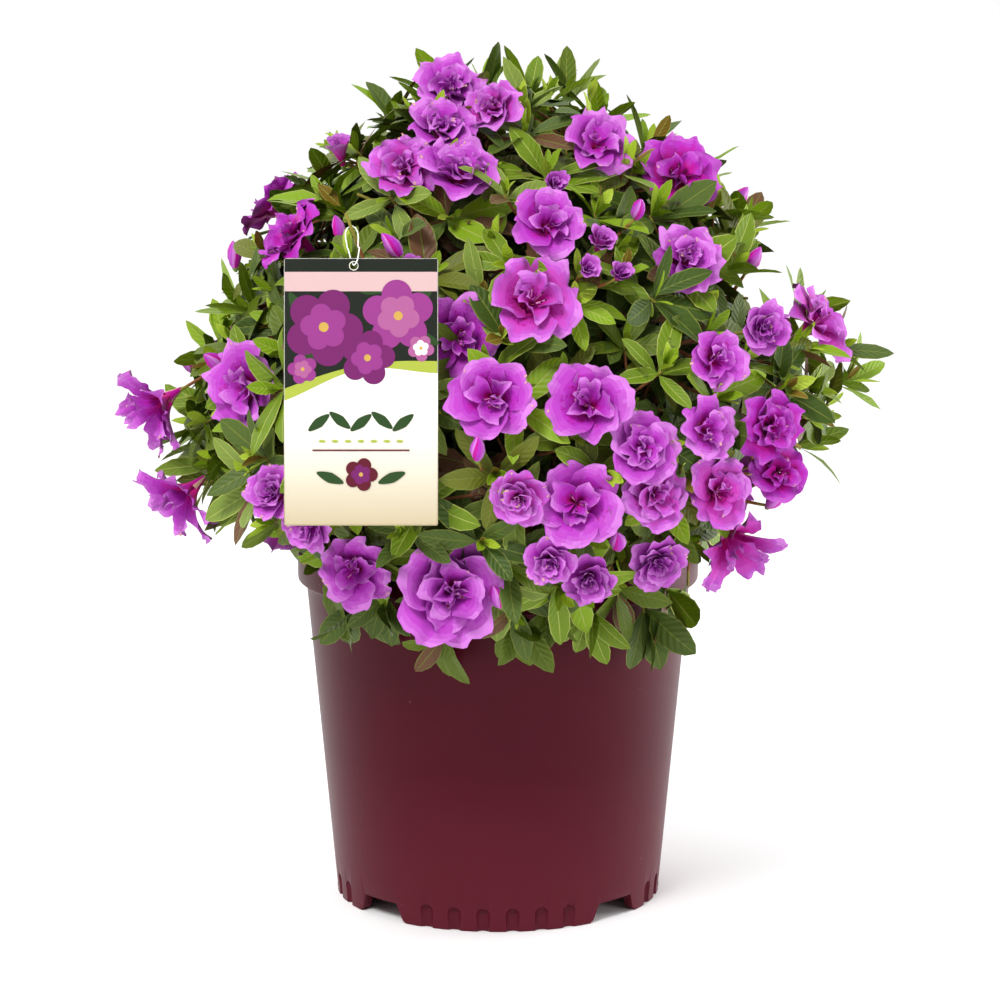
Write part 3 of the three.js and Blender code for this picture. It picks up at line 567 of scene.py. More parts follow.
stem_foot = upward(SOIL_LEVEL + 0.0003)
stem_top = np.array([0.003, -0.002, STEM_TOP])
stem_bend = upward((SOIL_LEVEL + STEM_TOP) / 2)
limbs = {"stem": (stem_foot, stem_bend, stem_top)}
for name, mass in masses.items():
    parent = limbs[mass["from"]]
    fork = share_at_length(parent, mass["fork"])
    start = bend_at(parent, fork)
    tip = crown_point(mass["along"], mass["distance"] * BOUGH_SHARE)
    span = np.linalg.norm(tip - start)
    if mass["from"] == "stem":
        side = unit((tip - start) * (1, 1, 0)) * 0.75 + upward(0.25)
    else:
        side = heading_at(parent, fork) + (tip - start) / span
    limbs[name] = (start, start + unit(side) * span * BOUGH_SPREAD, tip)


def limb_radius(name, share):
    if name == "stem":
        flare = max(0, 1 - share / FLARE_SHARE) ** 2
        return STEM_THICK + (STEM_FOOT - STEM_THICK) * flare
    butt = BOUGH_THICK if masses[name]["from"] == "stem" else SIDE_BOUGH_THICK
    return butt + (BOUGH_TIP - butt) * share


def bar_along(points, radii, smooth_steps=5, round_steps=5):
    """A round bar of changing radius that follows a smooth curve through points."""
    clear_selection()
    bpy.ops.curve.primitive_bezier_curve_add()
    bar = bpy.context.active_object
    path = bar.data.splines[0]
    path.bezier_points.add(len(points) - 2)
    for knot, point, radius in zip(path.bezier_points, points, radii):
        knot.co = point
        knot.handle_left_type = knot.handle_right_type = "AUTO"
        knot.radius = radius
    bar.data.bevel_depth = 1
    bar.data.bevel_resolution = round_steps
    bar.data.resolution_u = smooth_steps
    bar.data.use_fill_caps = True
    bpy.ops.object.convert(target="MESH")
    return bpy.context.active_object


bars = []
limb_steps = np.linspace(0, 1, 11)
for name, curve in limbs.items():
    points = [bend_at(curve, share) for share in limb_steps]
    bars.append(bar_along(points, [limb_radius(name, share) for share in limb_steps]))
clear_selection()
bpy.ops.mesh.primitive_uv_sphere_add(
    segments=24, ring_count=14, radius=FORK_KNUCKLE, location=stem_top
)
bars.append(bpy.context.active_object)
bpy.ops.object.transform_apply(location=True)
bark = join_all(*bars)
bark.name = "stem_and_boughs"
bpy.ops.object.transform_apply(location=True, rotation=True, scale=True)
ridges = bpy.data.textures.new("bark_ridges", "CLOUDS")
ridges.noise_scale = RIDGE_SIZE
ridges.noise_depth = 3
relief = bark.modifiers.new("bark_relief", "DISPLACE")
relief.texture = ridges
relief.texture_coords = "LOCAL"
relief.strength = RIDGE_HEIGHT
relief.mid_level = 0.5
apply_all(bark)
bpy.ops.object.shade_smooth()
bark_look, nodes, links, shader = plain_finish("azalea_bark", (112, 84, 64), 0.85, 0.25)
ridge_noise = surface_grain(bark_look, 420, 0.8, 0.0012, detail=6, stretch=(1, 1, 0.25))
tone = add_node(nodes, "ValToRGB")
grooves, ridge_tops = tone.color_ramp.elements
grooves.position, grooves.color = 0.35, srgb(74, 52, 40)
ridge_tops.position, ridge_tops.color = 0.68, srgb(146, 118, 94)
wire(links, (ridge_noise, "Fac", tone, "Fac"), (tone, "Color", shader, "Base Color"))
dress(bark, bark_look)
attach(bark, "root")
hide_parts("stem", *["bough_" + name for name in mass_names])

# Twigs
# From each bough's tip the mass's stem goes on, and main twigs leave it for the shoots that
# stand evenly over the crown. Finer twigs fork off them, one to each tuft of leaves and to each
# flower. They are smooth, and turn from brown to green towards their tips.
LATTICE_POINTS = 158
LOWEST_RISE = -45
GOLDEN_ANGLE = 180 * (3 - math.sqrt(5))
SEED = 20260
SEED_STEP = 7919
LAYER_STEP = 104729
PICTURED_HALF_ANGLE, HIGHEST_UNPICTURED = 104, 45
UNPICTURED_BLOOM_SHARE, LEAST_BLOOM, MORE_BLOOM = 0.4, 42, 18
BLOOM_CLEARANCE_ANGLE = 5
SHOOT_DEPTH, SHOOT_DEPTH_RANGE = 0.027, 0.0076
OPEN_BLOOMS = {
    # turn, rise, width in mm, how far it stands proud of the crown in mm
    "top_left": [(-25, 51, 48), (-19, 61, 51), (-10, 51, 56), (-25, 72, 48), (-2, 66, 44)],
    "front": [(-1, 10, 50), (14, 9, 50), (12, -6, 54), (3, -5, 38)],
    "left": [(-48, 9, 54, 8)],
    "right": [(74, 17, 56, 4)],
    "tag_side": [(-7, 20, 51)],
    "top_right": [(32, 57, 48)],
    "upper_front": [(10, 38, 46), (6, 25, 57)],
    "lower_front": [(-8, -22, 70), (8, -15, 34), (15, -19, 39)],
    "upper_left": [(-55, 38, 51)],
    "lower_left": [(-26, -20, 46), (-36, -6, 38), (-31, -11, 38)],
    "upper_right": [(55, 49, 54), (40, 32, 48)],
    "front_right": [
        (22, 2, 48), (24, -5, 48), (46, 3, 50), (37, 14, 40),
        (33, 4, 40), (36, -6, 45), (48, -4, 40), (49, 18, 36),
    ],
    "lower_right": [(29, -19, 39)],
}
ROSETTE_BELOW = 40
SINGLE_BLOOMS = {(-48, 9), (6, 25), (32, 57), (74, 17), (-7, 20)}
SPENT_BLOOMS = {
    "left": [(-74, 2, 51, 23), (-71, -13, 48, 22)],
    "lower_right": [(48, -19, 48)],
}
# how much of its width a flower sits inside the crown's face, and how far it turns to the front
SINK = {"open": 0.10, "rosette": 0.10, "spent": 0.10, "half_open": 0.3, "bud": 0.5}
FORWARD, STEP_BACK, BACK_STEPS = 0.4, 0.003, 16
LEANS = {
    # how far it faces out of the crown, which way it leans besides, and how far it strays
    "spent": (0.8, (0, -0.3, -0.5), 0.3), "bud": (0.6, (0, 0, 0.7), 0.9),
}
HALF_OPEN = [(20, 35, 22), (22, 29, 20), (13, 46, 20), (16, 30, 18), (-54, 55, 24), (-16, 30, 24)]
BUDS = [
    (-23, -25, 15), (-20, 34, 14), (-62, 12, 16), (20, -14, 15), (0, -24, 14), (-40, 40, 13),
    (30, 40, 13), (60, 30, 14), (-3, 2, 13), (52, -10, 14), (-120, 20, 14), (150, 10, 14),
    (100, 40, 14), (-170, 40, 14), (-90, 30, 14), (70, 50, 13), (-84, 9, 18),
]
SPRIGS = [
    # turn, rise, how far out its leaf tips reach
    (-118, 80, 0.249), (-151, 85, 0.247), (128, 84, 0.244), (101, 78, 0.248), (98, 71, 0.241),
    (-95, 69, 0.241), (-88, 54, 0.228), (90, 60, 0.236), (88, 51, 0.236), (87, 37, 0.241),
    (84, 18, 0.250), (84, 11, 0.264), (88, 5, 0.272), (86, -7, 0.242),
    (-72, -8, 0.232), (-64, -16, 0.222), (-80, 12, 0.222), (-66, 22, 0.226), (-30, 80, 0.244),
    (20, 78, 0.242), (66, 14, 0.250), (58, 30, 0.240), (-84, 2, 0.224), (-83, -6, 0.226),
    (-86, 12, 0.220), (-80, -12, 0.218), (-84, -2, 0.234),
]
HANGING = [
    # turn, level above the ground
    (-38, 0.222), (-13, 0.210), (5, 0.224), (22, 0.226), (38, 0.222), (54, 0.234), (-47, 0.236),
    (-28, 0.232), (13, 0.234), (30, 0.236), (46, 0.234), (118, 0.234), (-120, 0.236),
    (150, 0.230), (-150, 0.232),
]
SPRIG_LEAF, HANG_OUT = 0.032, 0.157
TWIG_SIDES = 5
FORK_SHARES, LEAST_FORK = (0.35, 0.5, 0.65, 0.8), 0.02
TUFT_BOW, FLOWER_BOW, HANGING_LIFT, FLOWER_HEEL = 0.12, 0.1, 0.25, 0.42
TWIG_COLOURS = {
    "twig_brown": (92, 60, 36), "twig_russet": (132, 80, 44), "twig_green": (128, 118, 42),
}
# start and end radius of each kind of twig
MASS_STEM, MAIN_TWIG, TUFT_TWIG, FLOWER_TWIG, CARRIER_TWIG = (
    (0.0026, 0.0022), (0.0015, 0.0010), (0.0011, 0.0009), (0.0014, 0.0010), (0.0016, 0.0010),
)
CARRIER_TURN, CARRIER_RISE, CARRIER_LENGTH = -26, 35, 0.264
TUFT_LAYERS = {
    # how many all round, least depth below the crown's face, how much more it may be
    "outer": (450, 0.011, 0.020), "inner": (520, 0.042, 0.036), "heart": (200, 0.085, 0.050),
}
VALLEY_DEPTH, VALLEY_ANGLE = 0.016, 26
LOW_SIDE_DEPTH, LOW_SIDE_FROM, LOW_SIDE_RANGE = 0.034, -8, 14
TUFT_LOWEST_RISE, TUFT_STRAY = -52, 7
FLOWER_COVER = 0.36
NOTCHES = [
    # seen from the front: angle round the crown's middle, half its width, how far leaves reach
    (-30, 13, 0.184), (-17, 6, 0.172), (-11, 4, 0.214), (-2, 6, 0.243), (17, 4, 0.216),
    (24, 5, 0.189), (48, 4, 0.226), (66, 5, 0.209), (84, 4, 0.232), (220, 8, 0.190),
]
VIEW_SLANT, VIEW_DISTANCE = math.radians(9.9), 2.22
TAG_CENTRE = np.array([-0.0844, -0.234, 0.3846])
TAG_WIDE, TAG_TALL, TAG_THICK = 0.095, 0.165, 0.0008
TAG_LEAN = math.radians(9.9)


def lattice(count, lowest):
    for k in range(count):
        rise = math.degrees(math.asin(1 - (2 * k + 1) / count))
        if rise < lowest:
            break
        yield k, ((k * GOLDEN_ANGLE + 180) % 360) - 180, rise


def nearest_mass(along):
    point = crown_point(along, crown_reach(along))
    return mass_names[int(np.argmin(np.linalg.norm(mass_centres - point, axis=1)))]


def angle_between(a, b):
    return math.degrees(math.acos(max(-1.0, min(1.0, float(a @ b)))))


def sway(roll):
    return np.array([swing(roll), swing(roll), swing(roll)])


def leant(points, centre, lean):
    """How far points lie across, behind and above a centre, on axes that lean back."""
    local = np.atleast_2d(points) - centre
    deep = local[:, 1] * math.cos(lean) - local[:, 2] * math.sin(lean)
    high = local[:, 1] * math.sin(lean) + local[:, 2] * math.cos(lean)
    return local[:, 0], deep, high


def behind_tag(points, margin=0.002):
    """True where points stay clear of the plant tag and of the room in front of it."""
    across, deep, high = leant(points, TAG_CENTRE, TAG_LEAN)
    beside = (np.abs(across) > TAG_WIDE / 2 + margin) | (np.abs(high) > TAG_TALL / 2 + margin)
    return beside | (deep > margin)


def off_pot(points, margin=0.002):
    points = np.atleast_2d(points)
    level = points[:, 2]
    out = np.hypot(points[:, 0], points[:, 1])
    wall = np.where(level > BAND_FOOT - 0.001, POT_RIM, wall_radius(level))
    return (level > POT_HEIGHT + margin) | (out > wall + margin)


def within_outline(points, margin=0.0):
    """True where points keep out of the notches between the boughs, seen from the front."""
    across, deep, high = leant(points, CROWN_CENTRE, VIEW_SLANT)
    nearer = VIEW_DISTANCE / (VIEW_DISTANCE + deep)
    reach = np.hypot(across, high) * nearer
    angle = np.degrees(np.arctan2(high, across)) % 360
    inside = np.full(len(across), True)
    for middle, half, limit in NOTCHES:
        apart = np.abs((angle - middle + 180) % 360 - 180)
        inside &= (apart > half) | (reach < limit - margin)
    return inside


flowers = []


def note_flower(kind, name, turn, rise, width, proud=0):
    flowers.append({
        "kind": kind, "mass": name, "along": heading(turn, rise),
        "width": width / 1000, "proud": proud / 1000, "single": (turn, rise) in SINGLE_BLOOMS,
    })


for name in mass_names:
    for bloom in OPEN_BLOOMS.get(name, []):
        note_flower("rosette" if bloom[2] < ROSETTE_BELOW else "open", name, *bloom)
    for bloom in SPENT_BLOOMS.get(name, []):
        note_flower("spent", name, *bloom)
pictured = [flower["along"] for flower in flowers]
for k, turn, rise in lattice(LATTICE_POINTS, LOWEST_RISE):
    roll = dice(SEED + k * SEED_STEP)
    along = heading(turn, rise)
    unpictured = abs(turn) > PICTURED_HALF_ANGLE and rise < HIGHEST_UNPICTURED
    is_bloom = unpictured and next(roll) < UNPICTURED_BLOOM_SHARE
    width = LEAST_BLOOM + MORE_BLOOM * next(roll)
    if any(angle_between(along, other) < BLOOM_CLEARANCE_ANGLE for other in pictured):
        continue
    name = nearest_mass(along)
    if is_bloom:
        note_flower("open", name, turn, rise, width)
    else:
        depth = SHOOT_DEPTH + SHOOT_DEPTH_RANGE * next(roll)
        outer = crown_reach(along) * masses[name]["reach"]
        masses[name]["shoots"].append(crown_point(along, outer - depth))
for kind, places in (("half_open", HALF_OPEN), ("bud", BUDS)):
    for turn, rise, width in places:
        note_flower(kind, nearest_mass(heading(turn, rise)), turn, rise, width)

for number, flower in enumerate(flowers):
    roll = dice(SEED * 3 + number * SEED_STEP)
    along, mass = flower["along"], masses[flower["mass"]]
    outer = crown_reach(along) * mass["reach"] + flower["proud"]
    place = crown_point(along, outer - flower["width"] * SINK[flower["kind"]])
    turned = sway(roll)
    forward = FORWARD if along[1] < -0.2 else 0
    out, lean, stray = LEANS.get(flower["kind"], (1, (0, -forward, 0.16), 0.8))
    facing = unit(along * out + np.array(lean) + turned * stray)
    flower.update(place=place, facing=facing, roll=roll)
    half = flower["width"] / 2
    for _ in range(BACK_STEPS):
        if np.all(behind_tag(flower["place"] + facing * half * 0.3, half * 0.55)):
            break
        flower["place"] = flower["place"] - along * STEP_BACK

tufts = []


def note_tuft(kind, along, place, facing, roll):
    tufts.append({
        "kind": kind, "mass": nearest_mass(along), "place": place, "facing": unit(facing),
        "roll": roll,
    })


for number, (layer, (count, least_depth, more_depth)) in enumerate(TUFT_LAYERS.items()):
    for k, turn, rise in lattice(count, TUFT_LOWEST_RISE):
        roll = dice(SEED * 5 + LAYER_STEP * number + k * SEED_STEP)
        turn += swing(roll) * TUFT_STRAY
        rise += swing(roll) * TUFT_STRAY
        along = heading(turn, rise)
        mass = masses[nearest_mass(along)]
        depth = least_depth + more_depth * next(roll)
        depth += VALLEY_DEPTH * min(1, angle_between(along, mass["along"]) / VALLEY_ANGLE) ** 2
        lowness = min(1, max(0, LOW_SIDE_FROM - rise) / LOW_SIDE_RANGE)
        depth += LOW_SIDE_DEPTH * lowness * abs(along[0])
        place = crown_point(along, crown_reach(along) * mass["reach"] - depth)
        covered = any(
            np.linalg.norm(place - flower["place"]) < flower["width"] * FLOWER_COVER
            for flower in flowers
        )
        if layer == "outer" and covered:
            continue
        if not behind_tag(place, 0.006)[0] or not off_pot(place, 0.004)[0]:
            continue
        if not within_outline(place, 0.012)[0]:
            continue
        outward = unit(place - mass["centre"]) * 0.5 + along + upward(0.3)
        note_tuft(layer, along, place, outward + sway(roll) * 0.7, roll)
for number, (turn, rise, reach) in enumerate(SPRIGS):
    roll = dice(SEED * 7 + number * SEED_STEP)
    along = heading(turn, rise)
    place = crown_point(along, reach - SPRIG_LEAF)
    note_tuft("sprig", along, place, along + upward(0.5) + sway(roll) * 0.4, roll)
for number, (turn, level) in enumerate(HANGING):
    roll = dice(SEED * 11 + number * SEED_STEP)
    outward = heading(turn, 0)
    place = outward * HANG_OUT + upward(level)
    along = unit(place - CROWN_CENTRE)
    note_tuft("hanging", along, place, outward * 0.45 + upward(-0.9), roll)

twig_places, twig_faces, twig_slots = [], [], []


def ring_faces(first, rings, sides):
    """For each face between rings of points: its stretch, its side and its four corners."""
    for r in range(rings - 1):
        for n in range(sides):
            a, b = first + r * sides + n, first + r * sides + (n + 1) % sides
            yield r, n, (a, b, b + sides, a + sides)


def add_twig(points, start_radius, end_radius, slots):
    """A round twig through points, with its own finish for each stretch."""
    rings = len(points)
    first = len(twig_places)
    side = unit(np.cross(points[1] - points[0], [0.31, 0.17, 0.93]))
    for n, point in enumerate(points):
        ahead = unit(points[min(n + 1, rings - 1)] - points[max(n - 1, 0)])
        side = unit(side - ahead * (side @ ahead))
        other = np.cross(ahead, side)
        radius = start_radius + (end_radius - start_radius) * n / (rings - 1)
        for corner in range(TWIG_SIDES):
            angle = math.tau * corner / TWIG_SIDES
            spoke = side * math.cos(angle) + other * math.sin(angle)
            twig_places.append(tuple(point + spoke * radius))
    for stretch, _, face in ring_faces(first, rings, TWIG_SIDES):
        twig_faces.append(face)
        twig_slots.append(slots[min(stretch, len(slots) - 1)])
    ends = range(first, first + TWIG_SIDES)
    twig_faces.append(tuple(reversed(ends)))
    twig_faces.append(tuple(n + (rings - 1) * TWIG_SIDES for n in ends))
    twig_slots.extend((slots[0], slots[-1]))


def bowed(start, end, bend, steps):
    middle = (start + end) / 2 + bend
    return [bend_at((start, middle, end), n / steps) for n in range(steps + 1)]


def fork_point(name, place):
    """Where a finer twig leaves the mass's nearest main twig."""
    mass = masses[name]
    nearest, start = 1.0, mass["centre"]
    for end in mass["shoots"]:
        for share in FORK_SHARES:
            point = mass["centre"] + (end - mass["centre"]) * share
            gap = np.linalg.norm(point - place)
            if LEAST_FORK < gap < nearest:
                nearest, start = gap, point
    return start


def forked(item, end, bow, lift=0):
    """The points of a finer twig that leaves a main twig and ends at a tuft or a flower."""
    start = fork_point(item["mass"], end)
    span = np.linalg.norm(end - start)
    bend = unit(end - start - item["facing"] * span * 0.5) * span * bow
    return bowed(start, end, bend + upward(span * lift), 4)


for name, mass in masses.items():
    onward = heading_at(limbs[name], 1)
    start = limbs[name][2] - onward * 0.004
    add_twig(bowed(start, mass["centre"], onward * 0.01, 4), *MASS_STEM, [0])
    for end in mass["shoots"]:
        points = bowed(mass["centre"], end, upward(-0.006), 5)
        add_twig(points, *MAIN_TWIG, [0, 0, 1, 1, 2])
for tuft in tufts:
    points = forked(tuft, tuft["place"], TUFT_BOW, HANGING_LIFT * (tuft["kind"] == "hanging"))
    tuft["twig"] = unit(points[-1] - points[-2])
    add_twig(points, *TUFT_TWIG, [0, 1, 1, 2])
for flower in flowers:
    heel = flower["place"] - flower["facing"] * flower["width"] * FLOWER_HEEL
    add_twig(forked(flower, heel, FLOWER_BOW), *FLOWER_TWIG, [0, 1, 1, 2])
carrier_end = crown_point(heading(CARRIER_TURN, CARRIER_RISE), CARRIER_LENGTH)
carrier_foot = masses["tag_side"]["centre"]
carrier = bowed(carrier_foot, carrier_end, upward(-0.003), 6)
add_twig(carrier, *CARRIER_TWIG, [0, 0, 1, 1, 1, 2])

twig_looks = grained_looks(TWIG_COLOURS, 0.7, 0.3, 500, 0.4, 0.0006)
twigs = joined_piece("twigs", twig_places, twig_faces, twig_slots, twig_looks)
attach(twigs, "root")

# Leaves
# Small evergreen leaves, each a blunt oval that folds up a little along its paler midrib and
# arches back from a short stalk. They stand in tufts: a star of large ones round a few upright
# young ones. Every tuft is dealt its own green, deeper inside the crown, yellower at young tips.
LEAF_LENGTH, LEAF_WIDTH = 0.0405, 0.0150
LEAF_BREADTHS = {"sprig": 0.84, "hanging": 1.24}
# how far large leaves lean off their tuft's axis, least and most, in degrees
LEAF_SPREADS, OPEN_SPREAD = {"sprig": (16, 66), "hanging": (12, 66)}, (46, 82)
# the turn from leaf to leaf in degrees, how far they hang, and the stretch of twig they stand on
LEAF_TURN, LEAF_DROOP, TUFT_DEPTH = 137.5, 0.05, 0.0065
# the share of a flower's width, from its middle, that leaves keep out of
FLOWER_HEART = 0.27
GREENS = {
    "leaf_deep": (54, 75, 12), "leaf_dusky": (71, 90, 28), "leaf_moss": (82, 100, 14),
    "leaf_summer": (99, 124, 16), "leaf_sage": (113, 133, 52), "leaf_bright": (120, 150, 20),
    "leaf_fresh": (145, 171, 32), "leaf_lime": (164, 187, 54), "leaf_bronze": (124, 100, 32),
    "leaf_olive": (94, 101, 25), "leaf_brown": (96, 65, 40),
    "leaf_rib": (103, 114, 42), "leaf_rib_pale": (151, 162, 76),
}
green_slots = {name: n for n, name in enumerate(GREENS)}
DARK_GREENS = ("leaf_deep", "leaf_dusky", "leaf_moss", "leaf_olive", "leaf_brown")
YOUNG_GREENS = ("leaf_fresh", "leaf_lime", "leaf_bright", "leaf_bronze")
TUFT_GREENS = {
    "inner": DARK_GREENS, "heart": DARK_GREENS,
    "sprig": ("leaf_summer", "leaf_bright", "leaf_sage"),
    "hanging": ("leaf_moss", "leaf_summer", "leaf_dusky", "leaf_moss"),
}
OUTER_GREENS = (
    # a tuft on the crown's face takes the first green whose share is above its draw
    ("leaf_deep", 0.14), ("leaf_dusky", 0.26), ("leaf_moss", 0.42), ("leaf_olive", 0.52),
    ("leaf_summer", 0.76), ("leaf_sage", 0.88), ("leaf_bright", 1.01),
)
VEIN_STEPS = (
    ("SUBTRACT", 0.5), ("ABSOLUTE", None), ("MULTIPLY", -0.42), ("ADD", None),
    ("MULTIPLY", 52), ("SINE", None),
)


def leaf_pattern(rows, breadth, columns):
    """The grid that leaves share: its faces, those of the pale rib and margin, its UV places."""
    wide = len(columns)
    cells = [(r, c) for r in range(len(rows) - 1) for c in range(wide - 1)]
    return {
        "rows": np.array(rows), "breadth": np.array(breadth), "columns": np.array(columns),
        "faces": np.array([
            (r * wide + c, r * wide + c + 1, (r + 1) * wide + c + 1, (r + 1) * wide + c)
            for r, c in cells
        ]),
        "is_rib": np.array([
            c == wide // 2 - 1 or (wide > 4 and c in (0, wide - 2)) for _, c in cells
        ]),
        "uv": np.array([((c + 1) / 2, v) for v in rows for c in columns]),
    }


OUTER_LEAF = leaf_pattern(
    [0, 0.08, 0.26, 0.5, 0.74, 0.91, 1.0],
    [0.10, 0.16, 0.70, 0.99, 0.90, 0.50, 0.05],
    [-1, -0.91, -0.48, -0.045, 0.045, 0.48, 0.91, 1],
)
PLAIN_LEAF = leaf_pattern(
    [0, 0.10, 0.45, 0.8, 1.0], [0.10, 0.18, 0.97, 0.78, 0.06], [-1, -0.05, 0.05, 1]
)


def leaf_points(pattern, root, along, facing, length, width, bends):
    """A leaf that folds up along its rib, arches back, sweeps sideways and waves at its edge."""
    side = unit(np.cross(along, facing))
    face = np.cross(side, along)
    rows, columns = pattern["rows"][:, None], pattern["columns"][None, :]
    half = width / 2 * pattern["breadth"][:, None]
    across = half * columns
    # folded and arched, with margins that turn down and wave
    height = np.abs(across) * math.sin(bends["fold"]) - rows**2 * bends["arch"] * length
    height = height - half * 0.12 * np.abs(columns) ** 3
    wave = np.sin(rows * 9 + bends["phase"] + columns * 2)
    height = height + half * bends["wave"] * np.abs(columns) * wave * 2
    aside = across * math.cos(bends["fold"]) + rows**2 * bends["sweep"] * length
    run = rows * length * (1 - 0.25 * bends["arch"] * rows) + 0 * columns
    run, aside, height = (line[:, :, None] for line in (run, aside, height))
    return (root + run * along + aside * side + height * face).reshape(-1, 3)


flower_middles = np.array([flower["place"] for flower in flowers])
flower_reach = np.array([flower["width"] * FLOWER_HEART for flower in flowers])


def clear_of_flowers(points):
    gaps = np.linalg.norm(points[:, None, :] - flower_middles[None, :, :], axis=2)
    return bool(np.all(gaps > flower_reach[None, :]))


leaf_piles = {}
for tuft in tufts:
    roll, kind = tuft["roll"], tuft["kind"]
    facing, twig, tip = tuft["facing"], tuft["twig"], tuft["place"]
    across = unit(np.cross(facing, [0.02, 0.05, 1]))
    other = np.cross(facing, across)
    start = next(roll) * 360
    mood = next(roll)
    within, hangs = kind in ("inner", "heart"), kind == "hanging"
    if kind in TUFT_GREENS:
        family = TUFT_GREENS[kind][int(mood * len(TUFT_GREENS[kind]))]
    else:
        family = next(green for green, share in OUTER_GREENS if mood < share)
    large = 5 if next(roll) < 0.6 or hangs else 6
    young = 0 if within or hangs else 2 + int(next(roll) * 3)
    vigour = 0.85 + 0.3 * next(roll)
    for n in range(large + young):
        is_young = n >= large
        back = TUFT_DEPTH * (1 - n / (large + young))
        if is_young:
            spread = math.radians(12 + 26 * next(roll))
            size = (0.36 + 0.28 * next(roll)) * vigour
        else:
            least, most = LEAF_SPREADS.get(kind, OPEN_SPREAD)
            spread = math.radians(least + (most - least) * next(roll))
            size = (0.84 + 0.3 * next(roll)) * vigour
        angle = math.radians(start + LEAF_TURN * n + 10 * next(roll))
        radial = across * math.cos(angle) + other * math.sin(angle)
        along = radial * math.sin(spread) + facing * math.cos(spread) + upward(-LEAF_DROOP)
        along = unit(along)
        upper = facing * math.sin(spread) - radial * math.cos(spread)
        if hangs:
            upper = unit(upper + unit(tip * (1, 1, 0)) * 1.4)
        upper = unit(upper + np.cross(along, upper) * swing(roll) * 0.7)
        length = LEAF_LENGTH * size
        width = LEAF_WIDTH * size * (0.82 + 0.36 * next(roll)) * LEAF_BREADTHS.get(kind, 1)
        bends = {
            "arch": 0.02 if is_young else 0.04 + 0.24 * next(roll),
            "fold": math.radians(26 if is_young else 6 + 26 * next(roll)),
            "sweep": swing(roll) * 0.16,
            "wave": 0.10 * next(roll), "phase": next(roll) * math.tau,
        }
        pattern = PLAIN_LEAF if within else OUTER_LEAF
        points = leaf_points(pattern, tip - twig * back, along, upper, length, width, bends)
        checked = points[len(pattern["columns"]):]
        if not (np.all(behind_tag(checked)) and np.all(off_pot(checked, 0.001))):
            continue
        if kind != "sprig" and not np.all(within_outline(checked)):
            continue
        if not within and not clear_of_flowers(checked):
            continue
        swap = next(roll)
        if is_young:
            green = YOUNG_GREENS[min(3, int(swap * 3.3))]
            pile = "leaves_young"
        else:
            green = "leaf_dusky" if swap < 0.10 else "leaf_brown" if swap > 0.95 else family
            side = "front" if tip[1] < 0 else "back"
            pile = "leaves_inner" if within else "leaves_" + side
        rib = "leaf_rib" if green in DARK_GREENS else "leaf_rib_pale"
        leaf_piles.setdefault(pile, []).append((points, green_slots[green], green_slots[rib]))

leaf_looks = []
for name, colour in GREENS.items():
    look, nodes, links, shader = plain_finish(name, colour, 0.5, 0.24)
    growth = add_node(nodes, "UVMap", uv_map="growth")
    split = add_node(nodes, "SeparateXYZ")
    wire(links, (growth, "UV", split, "Vector"))
    before, result = split, "X"
    for operation, number in VEIN_STEPS:
        step = add_node(nodes, "Math", {} if number is None else {1: number}, operation=operation)
        wire(links, (before, result, step, 0))
        if operation == "ADD":
            wire(links, (split, "Y", step, 1))
        before, result = step, "Value"
    veins = add_node(nodes, "Bump", {"Strength": 0.35, "Distance": 0.0004})
    wire(links, (before, result, veins, "Height"), (veins, "Normal", shader, "Normal"))
    leaf_looks.append(look)

for name, pile in leaf_piles.items():
    pattern = PLAIN_LEAF if name == "leaves_inner" else OUTER_LEAF
    points = np.concatenate([points for points, _, _ in pile])
    firsts = np.arange(len(pile)) * len(pattern["uv"])
    faces = (pattern["faces"][None, :, :] + firsts[:, None, None]).reshape(-1, 4)
    greens = np.array([green for _, green, _ in pile])[:, None]
    ribs = np.array([rib for _, _, rib in pile])[:, None]
    slots = np.where(pattern["is_rib"][None, :], ribs, greens).ravel()
    leaves = joined_piece(
        name, points.tolist(), faces.tolist(), slots, leaf_looks,
        uvs=np.tile(pattern["uv"], (len(pile), 1)),
    )
    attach(leaves, "root")
    if name == "leaves_front":
        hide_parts(*["foliage_" + mass_name for mass_name in mass_names])

# Flowers
# Ruffled half-double flowers on short funnels: five broad blunt lobes that overlap, a second
# ring that stands folded inside them, and a few curled ones at the heart with the stamens. They
# are deep magenta in the throat, paler lilac at the frilled edge, and speckled above.
PETALS = {
    "petal_throat": (196, 20, 126), "petal_deep": (180, 14, 142), "petal_rich": (174, 28, 160),
    "petal_main": (168, 42, 172), "petal_mid": (172, 60, 178), "petal_soft": (178, 78, 184),
    "petal_light": (186, 96, 192), "petal_edge": (196, 116, 202), "petal_dark": (142, 10, 108),
    "petal_red": (182, 28, 146), "petal_rose": (184, 50, 166), "petal_pink": (184, 66, 174),
    "petal_tan": (206, 158, 150), "petal_speck": (168, 4, 112),
    "stamen": (226, 150, 206), "anther": (110, 40, 70), "calyx": (116, 140, 62),
}
PETAL_SHADES = {
    # from the throat to the edge
    "plain": ("throat", "deep", "rich", "main", "mid", "soft", "light", "edge"),
    "rosy": ("throat", "deep", "red", "rose", "pink", "soft", "light", "edge"),
    "dark": ("throat", "dark", "dark", "deep", "rich", "main", "mid", "soft"),
}
SHADE_LEVELS = (0.12, 0.26, 0.42, 0.60, 0.76, 0.88, 0.96)
SIMPLE_SHARE, FADED_SHARE, SPECK_LIFT = 0.45, 0.3, 0.00022
